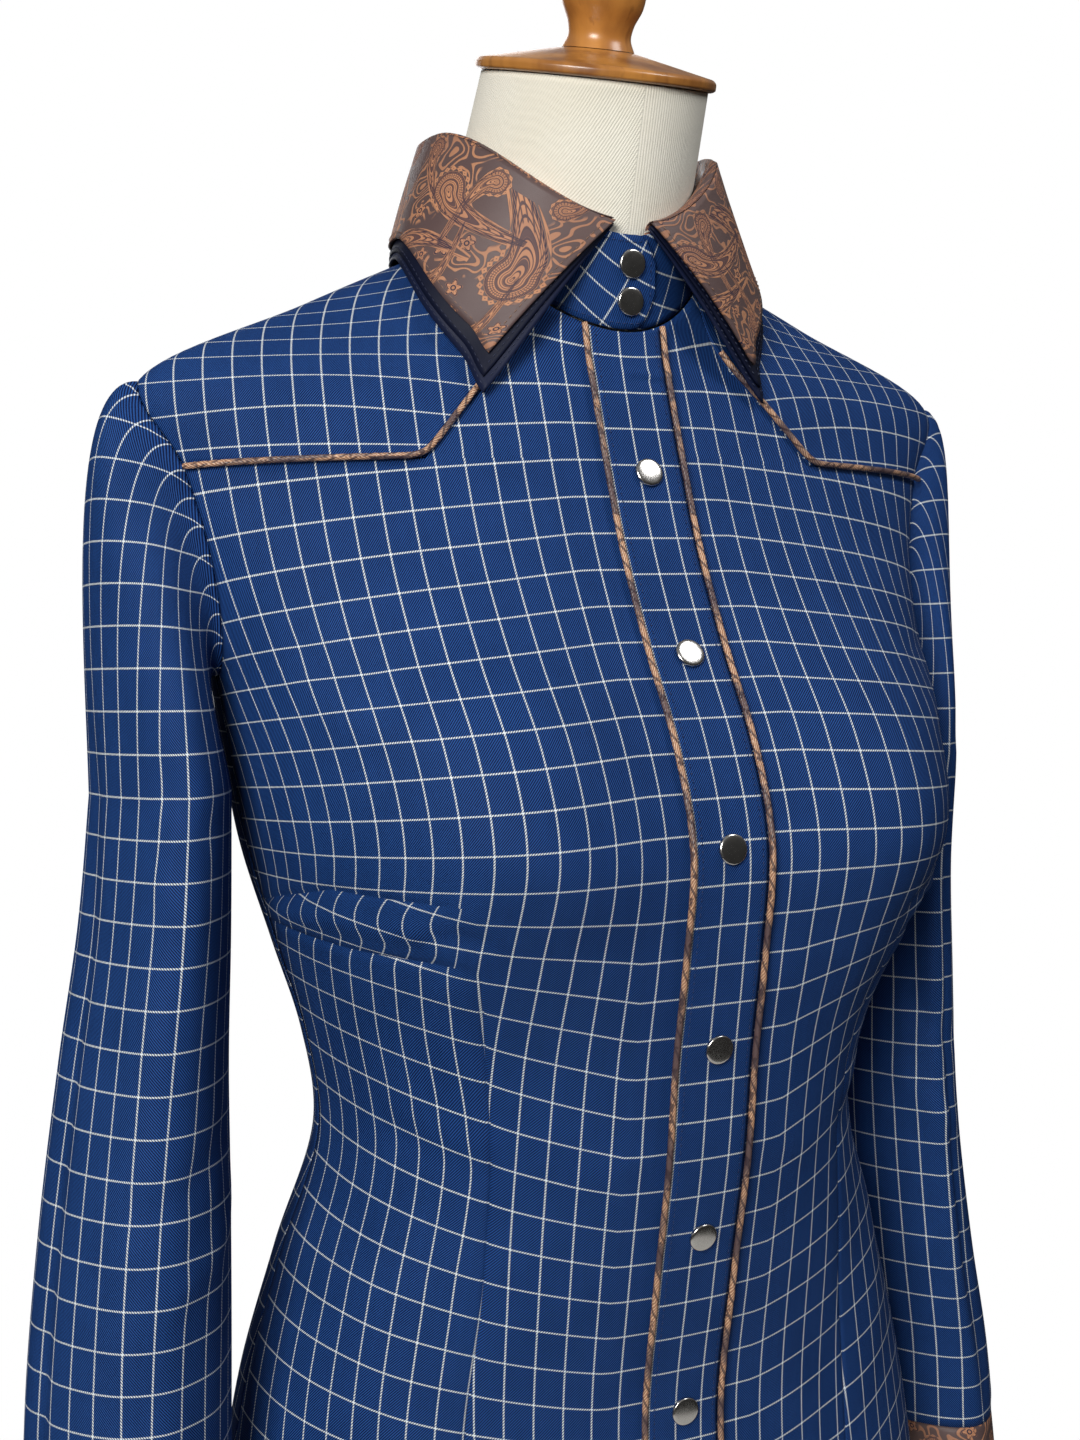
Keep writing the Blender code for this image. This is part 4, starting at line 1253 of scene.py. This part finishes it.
def collar():
    """The paisley leaf over two navy layers. Returns the pieces and their grids, top first."""
    top = leaf_grid(5.6, 0.0, 0.0)
    along, down = leaf_uv(top)
    top = lifted(top, -0.42 * np.sin(along / 21.0) * smoothstep(0, 30, down))
    uv = np.stack([along - along[0] + COLLAR_PHASE[0], COLLAR_PHASE[1] - down], -1)
    pieces = [grid("cloth_collar_top", top, uv, PAISLEY, ["collar_top"])]
    grids = [top]
    for name, material, layer, reach, end_reach in (
        ("middle", SATIN, 3.7, 0.085, 5.0),
        ("under", SATIN_LOWER, 2.6, 0.13, 9.5),
    ):
        points = leaf_grid(layer, reach, end_reach)
        along, down = leaf_uv(points)
        uv = np.stack([along, -down], -1)
        name = f"cloth_collar_{name}"
        pieces.append(grid(name, points, uv, material, ["collar_under"], thick=0.8))
        grids.append(points)
    return pieces, grids


# Sleeves.

SLEEVES = {
    RIGHT: (
        (165, 183, 8, 25, 57),
        (110, 187, 8, 27, 56),
        (60, 193, 6, 30, 54),
        (0, 199, 3, 34, 52),
        (-75, 205, 0, 37, 49),
        (-130, 208, -3, 37, 46),
        (-167, 209, -6, 35, 43),
    ),
    LEFT: (
        (165, 177, 24, 18, 55),
        (110, 175, 29, 20, 54),
        (60, 174, 29, 23, 53),
        (0, 176, 30, 25, 51),
        (-75, 186, 33, 27, 48),
        (-130, 197, 36, 28, 45),
        (-167, 201, 35, 29, 42),
    ),
}
TURNS = 96
SEAM_OUT = 0.5
SLEEVE_ROWS = 92
SLEEVE_TOP = SLEEVES[RIGHT][0][0]
SLEEVE_PHASE = {RIGHT: (2.0, 5.0), LEFT: (1.0, 2.0)}
# Creases lie over a plane of millimetres, and a degree round a sleeve is about this many.
DEGREE = 0.8
CAP_FULLNESS = {RIGHT: 1.05, LEFT: 0.8}
TURN_ANGLES = np.linspace(0, 2 * np.pi, TURNS, endpoint=False)


def sleeve_ring(row, side):
    z, x, y, half_x, half_y = row
    out = half_x * (np.cos(TURN_ANGLES) + 0.05 * np.cos(3 * TURN_ANGLES))
    front = half_y * (np.sin(TURN_ANGLES) - 0.02 * np.sin(3 * TURN_ANGLES))
    return np.stack([side * (x + out), y - front, np.full(TURNS, z + WAIST, float)], -1)


# Creases of a sleeve: turn and z at both ends in degrees and millimetres, width, height, bow.
SLEEVE_CREASES = {
    RIGHT: (
        (6, 190, 14, -190, 5.5, 2.6, 3),
        (-10, 150, -4, -180, 9, -1.4, -2),
        (60, 130, 66, -60, 16, -1.6, 8),
        (92, 90, 84, -150, 13, 1.4, -6),
        (128, 60, 120, -180, 12, -1.6, 6),
        (150, 40, 60, 10, 9, 1.5, 6),
        (160, 10, 76, -26, 8, -1.4, 5),
        (120, 150, 60, 178, 9, 1.6, 5),
        (110, 118, 56, 142, 8, -1.3, 4),
        (220, 60, 214, -150, 15, 1.6, 6),
        (250, 30, 300, -10, 9, 1.3, 5),
        (262, 2, 320, -40, 8, -1.2, 5),
        (300, 150, 308, -100, 14, -1.4, 5),
    ),
    LEFT: (
        (78, 170, 70, -160, 7, 2.4, 5),
        (58, 150, 52, -190, 11, -1.7, -5),
        (36, 120, 30, -150, 12, 1.3, 5),
        (104, 120, 100, -120, 10, -1.6, -4),
        (130, 60, 62, 24, 9, 1.5, 6),
        (140, 20, 66, -14, 8, -1.4, 5),
        (122, 150, 66, 178, 9, 1.5, 5),
        (220, 60, 214, -150, 15, 1.6, 6),
        (250, 30, 300, -10, 9, 1.3, 5),
        (300, 150, 308, -100, 14, -1.4, 5),
    ),
}


def sleeve(side):
    table = np.array(SLEEVES[side], float)[::-1]
    angle = TURN_ANGLES
    middle = (LEVEL_ARMPIT + LEVEL_SHOULDER) / 2
    loop_level = middle + (LEVEL_SHOULDER - LEVEL_ARMPIT) / 2 * np.cos(angle)
    reach = np.where(np.sin(angle) > 0, ARMHOLE_FRONT, ARMHOLE_BACK)
    loop_angle = side * (90 - reach * np.sin(angle))
    start = body(loop_angle, loop_level) + np.array((side * SEAM_OUT, 0, 0))
    first = sleeve_ring(table[-1], side)
    top_share = (1 + np.cos(angle)) / 2
    leave = np.stack([np.full(TURNS, float(side)), np.zeros(TURNS), 0.25 - 0.2 * top_share], -1)
    leave = leave * (34 + 42 * top_share)[:, None] * CAP_FULLNESS[side]
    down = np.stack([np.zeros(TURNS), np.zeros(TURNS), -(30 + 190 * top_share)], -1)
    rows = []
    for t in np.linspace(0, 1, 44)[:-1]:
        point = start * (2 * t**3 - 3 * t**2 + 1) + leave * (t**3 - 2 * t**2 + t)
        rows.append(point + first * (3 * t**2 - 2 * t**3) + down * (t**3 - t**2))
    for z in np.linspace(SLEEVE_TOP, table[0, 0], SLEEVE_ROWS):
        row = [z] + [hermite(table[:, 0], table[:, k], z) for k in range(1, 5)]
        rows.append(sleeve_ring(row, side))
    points = np.array(rows[::-1])
    length = arc(points, 0)
    around = arc(np.concatenate([points, points[:, :1]], 1), 1)[:, :-1]
    girth = np.linalg.norm(points[:, 0] - points[:, -1], axis=-1) + around[:, -1]
    z = points[..., 2] - WAIST
    degrees = np.degrees(angle)[None, :] + np.zeros_like(z)
    heights = np.zeros_like(z)
    for start_turn, start_z, end_turn, end_z, width, height, bow in SLEEVE_CREASES[side]:
        for whole in (-360, 0, 360):
            round_arm = (degrees + whole) * DEGREE
            first_end = (start_turn * DEGREE, start_z)
            last_end = (end_turn * DEGREE, end_z)
            heights += crease(round_arm, z, first_end, last_end, width, height, bow)
    heights *= smoothstep(0, 10, length) * smoothstep(0, 22, length[-1:] - length)
    puckers = 0.35 * np.sin(degrees * 0.62) * np.exp(-((length[-1:] - length) / 7.0) ** 2)
    heights += puckers * (top_share > 0.35)
    closed = np.concatenate([points[:, -1:], points, points[:, :1]], 1)
    points = lifted(closed, np.pad(heights, ((0, 0), (1, 1)), mode="wrap") * side)[:, 1:-1]
    # The weft runs level round the arm, and over the cap it goes by the cloth's own length.
    u = np.where(angle > np.pi, around - girth[:, None], around)
    cap = (length - length[SLEEVE_ROWS - 1]) * 0.96 + SLEEVE_TOP
    v = np.where(z < SLEEVE_TOP, z, cap) + 200
    phase = SLEEVE_PHASE[side]
    uv = np.stack([side * u + phase[0], v + phase[1]], -1)
    return grid(
        f"cloth_sleeve_{WORD[side]}", points, uv, CHECK, [f"sleeve_{WORD[side]}"],
        wrap=True, flip=side == RIGHT,
    )


# From a cuff's top to its end, the drop of each value in a sleeve's row.
CUFF_DROP = np.array((CUFF_LENGTH, -2, 3, 0, 1), float)


def cuff(side):
    below = np.array(SLEEVES[side][-1], float) - np.array((SEAM_GAP, 0, 0, 0, 0))
    rows = []
    for share in np.linspace(0, 1, 26):
        row = below - CUFF_DROP * share
        puff = 0.5 * math.sin(math.pi * share) - 0.3 * (share < 0.02)
        rows.append(sleeve_ring(row + np.array((0, 0, 0, puff, puff)), side))
    points = np.array(rows[::-1])
    uv = np.stack([arc(points, 1) * side, arc(points, 0) + 8], -1)
    return grid(
        f"cloth_cuff_{WORD[side]}", points, uv, PAISLEY,
        [f"cuff_{WORD[side]}"], wrap=True, flip=side == RIGHT,
    )


# Snaps.

SNAP_PROFILE = (
    (5.2, -0.25), (5.55, 0.0), (5.86, 0.35), (5.9, 0.75), (5.82, 1.15), (5.6, 1.42), (5.2, 1.58),
    (4.6, 1.68), (3.6, 1.78), (2.4, 1.86), (1.2, 1.9), (0.3, 1.91),
)


def facing(point, normal):
    quaternion = Vector(normal).to_track_quat("Z", "Y")
    return Matrix.Translation(Vector(point) * MM) @ quaternion.to_matrix().to_4x4()


def snap(node, point, normal):
    place = facing(np.asarray(point) + np.asarray(normal) * (CLOTH / 2 + 0.1), normal)
    turned(f"cap_{node}", SNAP_PROFILE, METAL, [node], 64, place)


def snaps():
    line = strip_line(0.0, PLACKET_LIFT)[::-1]
    walked = arc(line, 0)
    for number in range(SNAP_COUNT):
        at = SNAP_FIRST + SNAP_SPACING * number
        behind, point, ahead = read_line(line, walked, np.array((at - 4, at, at + 4)))
        normal = unit(np.cross(ahead - behind, (1, 0, 0)))
        snap(f"snap_front_{number + 1}", point + normal * 0.35, normal)
    for number, share in ((1, 0.31), (2, 0.7)):
        base = stand_point(1.0, STAND_HEIGHT * share, stand_lift(1.0))
        above = stand_point(1.0, STAND_HEIGHT * share + 1, stand_lift(1.0))
        beside = stand_point(3.0, STAND_HEIGHT * share, stand_lift(3.0))
        snap(f"snap_stand_{number}", base, unit(np.cross(beside - base, above - base)))
    for side in (RIGHT, LEFT):
        end = np.array(SLEEVES[side][-1], float)
        for number, share in ((1, 0.27), (2, 0.73)):
            ring_points = sleeve_ring(end - CUFF_DROP * share, side)
            index = round(TURNS * 18 / 20)
            along = unit(ring_points[index + 1] - ring_points[index - 1])
            normal = unit(np.cross(along, (0, 0, 1)))
            normal = normal if normal[0] * side > 0 else -normal
            snap(f"snap_cuff_{WORD[side]}_{number}", ring_points[index] + normal * 0.5, normal)


# Dress form and its stand.

CAP_CENTRE = np.array((0, -35, 454 + WAIST), float)
CAP_LEAN = math.radians(18)
FORM_BOTTOM = -225
FORM_TOP = 398
NECK_TOP_RADIUS = 47.5


def dress_form():
    turns = np.linspace(0, 360, 144, endpoint=False)
    rows = [body(turns, level, -EASE) for level in np.linspace(FORM_BOTTOM, FORM_TOP, 150)]
    lean = np.array(Matrix.Rotation(CAP_LEAN, 3, "X"))
    angle = np.radians(turns)
    spoke = np.stack([np.sin(angle), -np.cos(angle), np.zeros_like(angle)], -1) * NECK_TOP_RADIUS
    top = CAP_CENTRE + spoke @ lean.T
    rows.append(stand_point(turns, -3, -7.5))
    low = stand_point(turns, 12, -6)
    rows.append(low)
    for share in np.linspace(0, 1, 26)[1:]:
        rows.append(low + (top - low) * share)
    points = np.array(rows)
    uv = np.stack([arc(points, 1), arc(points, 0)], -1)
    made = grid("form_body", points, uv, JERSEY, ["dress_form"], wrap=True, thick=0)
    close_ends(made)


# The knob's height over the cap's underside, and its radius there.
KNOB = (
    (12.3, 15.2), (17, 13.2), (22, 13.8), (29, 16.8), (37, 17.6), (44, 16.2), (50, 11.4), (53, 3),
)


def neck_top():
    lean = Matrix.Rotation(CAP_LEAN, 4, "X")
    centre = Vector(CAP_CENTRE * MM) + lean @ Vector((0, 0, 0.4 * MM))
    place = Matrix.Translation(centre) @ lean
    disc = rounded(
        ((2, 0), (49, 0), (50.5, 0.8), (50.5, 3.6), (49.2, 4.9), (16, 12), (13, 12.2)), 0.7
    )
    turned("cap_disc", disc, WOOD, ["neck_cap"], 128, place)
    knob_heights, knob_radii = zip(*KNOB)
    heights = np.linspace(knob_heights[0], knob_heights[-1], 40)
    knob = list(zip(hermite(knob_heights, knob_radii, heights), heights))
    turned("cap_knob", knob, WOOD, ["neck_knob"], 96, place)


def stand_parts():
    base = rounded(((4, 0), (127, 0), (130, 3), (130, 14), (122, 22), (27, 24), (22, 24.2)), 3)
    turned("stand_foot", base, WOOD_STAND, ["stand_base"], 128)
    foot = 24.35
    top = WAIST + FORM_BOTTOM - 0.7
    pole = rounded(
        (
            (20, foot), (24, foot), (24, foot + 4), (19, foot + 10), (16, foot + 12), (15, foot + 20),
            (15, top - 14), (20, top - 8), (21, top - 4), (21, top), (18, top),
        ),
        2,
    )
    turned("stand_post", pole, WOOD_STAND, ["stand_pole"], 64)


# Building.

def away_from_neck(line):
    """The way off the cloth for a line round the neck or body: outward and a little up."""
    return unit(line * np.array((1, 1, 0))) + np.array((0, 0, 0.35))


def inset_rim(sheet_grid, inset):
    """A line inside a collar layer's edge: down one front, along the outer edge and up the other front."""
    down = arc(sheet_grid, 1)
    along = arc(sheet_grid[:, -1:], 0)[:, 0]
    keep_station = (along > inset) & (along < along[-1] - inset)
    bottom = np.array([
        read_line(sheet_grid[station], down[station], down[station][-1] - inset)
        for station in np.flatnonzero(keep_station)
    ])
    ends = []
    for station, step in ((0, 1), (-1, -1)):
        edge = sheet_grid[station]
        inward = unit(sheet_grid[station + 3 * step] - edge)
        inside = edge + inward * inset
        depth = down[station]
        ends.append(inside[(depth > 2) & (depth < depth[-1] - inset * 1.5)])
    return [ends[0], bottom, ends[1]]


def collar_stitches(top, *navy):
    """Topstitching inside the edges of the collar's layers, given as their grids."""
    for name, layers, inset, off, material, slot in (
        ("stitch_navy", navy, 2.0, 0.5, STITCH_DARK, "navy_satin"),
        ("stitch_copper", [top], 2.6, 0.65, STITCH_BROWN, "copper_paisley"),
    ):
        rims = [line for layer in layers for line in inset_rim(layer, inset)]
        lines = [line + away_from_neck(line) * off for line in rims]
        stitches(name, lines, [away_from_neck(line) for line in lines], material)


HEM_STITCH = 9
TAB_STITCH_TURN = 10.5


def edge_stitches():
    """Topstitching of the placket, the stand's tab and the hem."""
    lines = []
    off = CLOTH / 2 + 0.1
    for x in (-PLACKET_HALF_WIDTH + 2.4, PLACKET_HALF_WIDTH - 2.4):
        wave = placket_wave(PLACKET_LEVELS, np.full(PLACKET_LEVELS.shape, x))
        lines.append(strip_line(x, PLACKET_LIFT + off + wave))
    turns = np.linspace(6, -40, 40)
    for height in (3.0, STAND_HEIGHT - 3.0):
        lines.append(stand_point(turns, height, stand_lift(turns) + off))
    heights = np.linspace(7, STAND_HEIGHT - 7, 20)
    lines.append(stand_point(TAB_STITCH_TURN, heights, stand_lift(TAB_STITCH_TURN) + off))
    for side in (RIGHT, LEFT):
        shares = np.linspace(0.09, 0.96, 60)
        levels = hem_level(shares) + HEM_STITCH
        angles = side * shares * (90 - side_edge(levels, ARMHOLE_FRONT))
        lines.append(body(angles, levels, off))
    shares = np.linspace(-1, 1, 120)
    lines.append(body(180 + 84 * shares, hem_level(shares) + HEM_STITCH, off))
    outward = [unit(line * np.array((1, 1, 0))) for line in lines]
    stitches("stitch_blue", lines, outward, STITCH_BLUE)


fronts = {side: front_panel(side) for side in (RIGHT, LEFT)}
yokes = {side: front_yoke(side) for side in (RIGHT, LEFT)}
back = back_panel()
yoke_back = back_yoke()
strip = placket()
for side in (RIGHT, LEFT):
    placket_piping(side)
for side in (RIGHT, LEFT):
    yoke_piping(side)
back_piping()
stand_piece = collar_stand()
collar_pieces, collar_grids = collar()
sleeves = {side: sleeve(side) for side in (RIGHT, LEFT)}
cuffs = {side: cuff(side) for side in (RIGHT, LEFT)}
collar_stitches(*collar_grids)
edge_stitches()
snaps()
dress_form()
neck_top()
stand_parts()


# Stage, light and camera.

FLOOR_RADIUS = 0.62


def floor():
    mesh = bpy.data.meshes.new("floor")
    made = bmesh.new()
    bmesh.ops.create_circle(made, cap_ends=True, radius=FLOOR_RADIUS, segments=96)
    made.to_mesh(mesh)
    made.free()
    paint = Paint("pale floor", 0.85)
    tone = paint.noise(4, 2)
    paint.colour(paint.mix(tone, (0.62, 0.62, 0.61), (0.68, 0.68, 0.67)))
    mesh.materials.append(paint.made)
    ground = bpy.data.objects.new("floor", mesh)
    bpy.context.scene.collection.objects.link(ground)
    ground.location.z = -0.0005


def light(name, place, target, size, power, colour=(1, 1, 1)):
    data = bpy.data.lights.new(name, "AREA")
    data.shape = "RECTANGLE"
    data.size, data.size_y = size
    data.energy = power
    data.color = colour
    made = bpy.data.objects.new(name, data)
    made.location = place
    made.rotation_euler = (Vector(target) - Vector(place)).to_track_quat("-Z", "Y").to_euler()
    bpy.context.scene.collection.objects.link(made)


def world():
    sky = bpy.data.worlds.new("studio")
    bpy.context.scene.world = sky
    sky.use_nodes = True
    tree = sky.node_tree
    shade = tree.nodes["Background"]
    # White where the camera looks, and a room that is bright above and dim below for the cloth.
    ray = tree.nodes.new("ShaderNodeLightPath")
    way = tree.nodes.new("ShaderNodeTexCoord")
    split = tree.nodes.new("ShaderNodeSeparateXYZ")
    tree.links.new(way.outputs["Generated"], split.inputs[0])
    height = Field(tree, split.outputs[2])
    room = height.above(0.0, 0.85) * 0.2 + 0.03
    seen = Field(tree, ray.outputs["Is Camera Ray"])
    strength = room * (seen * -1.0 + 1.0) + seen
    tree.links.new(strength.socket, shade.inputs["Strength"])
    shade.inputs["Color"].default_value = (1, 1, 1, 1)


CAMERA_TURN = 24.1
CAMERA_PITCH = 2.0
CAMERA_ROLL = -1.7
CAMERA_DISTANCE = 0.778
CAMERA_TARGET = Vector((-0.0147, 0.0073, 0.6676))
CAMERA_LENS = 44.125


def camera():
    turn = math.radians(CAMERA_TURN)
    pitch = math.radians(CAMERA_PITCH)
    roll = math.radians(CAMERA_ROLL)
    level = math.cos(pitch)
    back_way = Vector((-math.sin(turn) * level, -math.cos(turn) * level, math.sin(pitch)))
    right = (-back_way).cross(Vector((0, 0, 1))).normalized()
    up = right.cross(-back_way)
    rolled_right = right * math.cos(roll) + up * math.sin(roll)
    rolled_up = up * math.cos(roll) - right * math.sin(roll)
    data = bpy.data.cameras.new("camera")
    data.sensor_width = 36
    data.lens = CAMERA_LENS
    data.clip_start = 0.02
    made = bpy.data.objects.new("camera", data)
    axes = Matrix((rolled_right, rolled_up, back_way)).transposed().to_4x4()
    made.matrix_world = Matrix.Translation(CAMERA_TARGET + back_way * CAMERA_DISTANCE) @ axes
    bpy.context.scene.collection.objects.link(made)
    bpy.context.scene.camera = made


floor()
world()
light("key", (-1.3, -1.5, 1.3), (0, 0, 0.68), (0.8, 0.8), 44, (1.0, 0.985, 0.96))
light("fill", (0.5, -0.65, 1.5), (0, 0, 0.98), (0.35, 0.35), 4, (0.97, 0.98, 1.0))
light("back", (0.5, 2.0, 1.5), (0, 0, 0.6), (1.2, 1.2), 14, (0.97, 0.98, 1.0))
camera()
bpy.context.scene.view_settings.view_transform = "Standard"
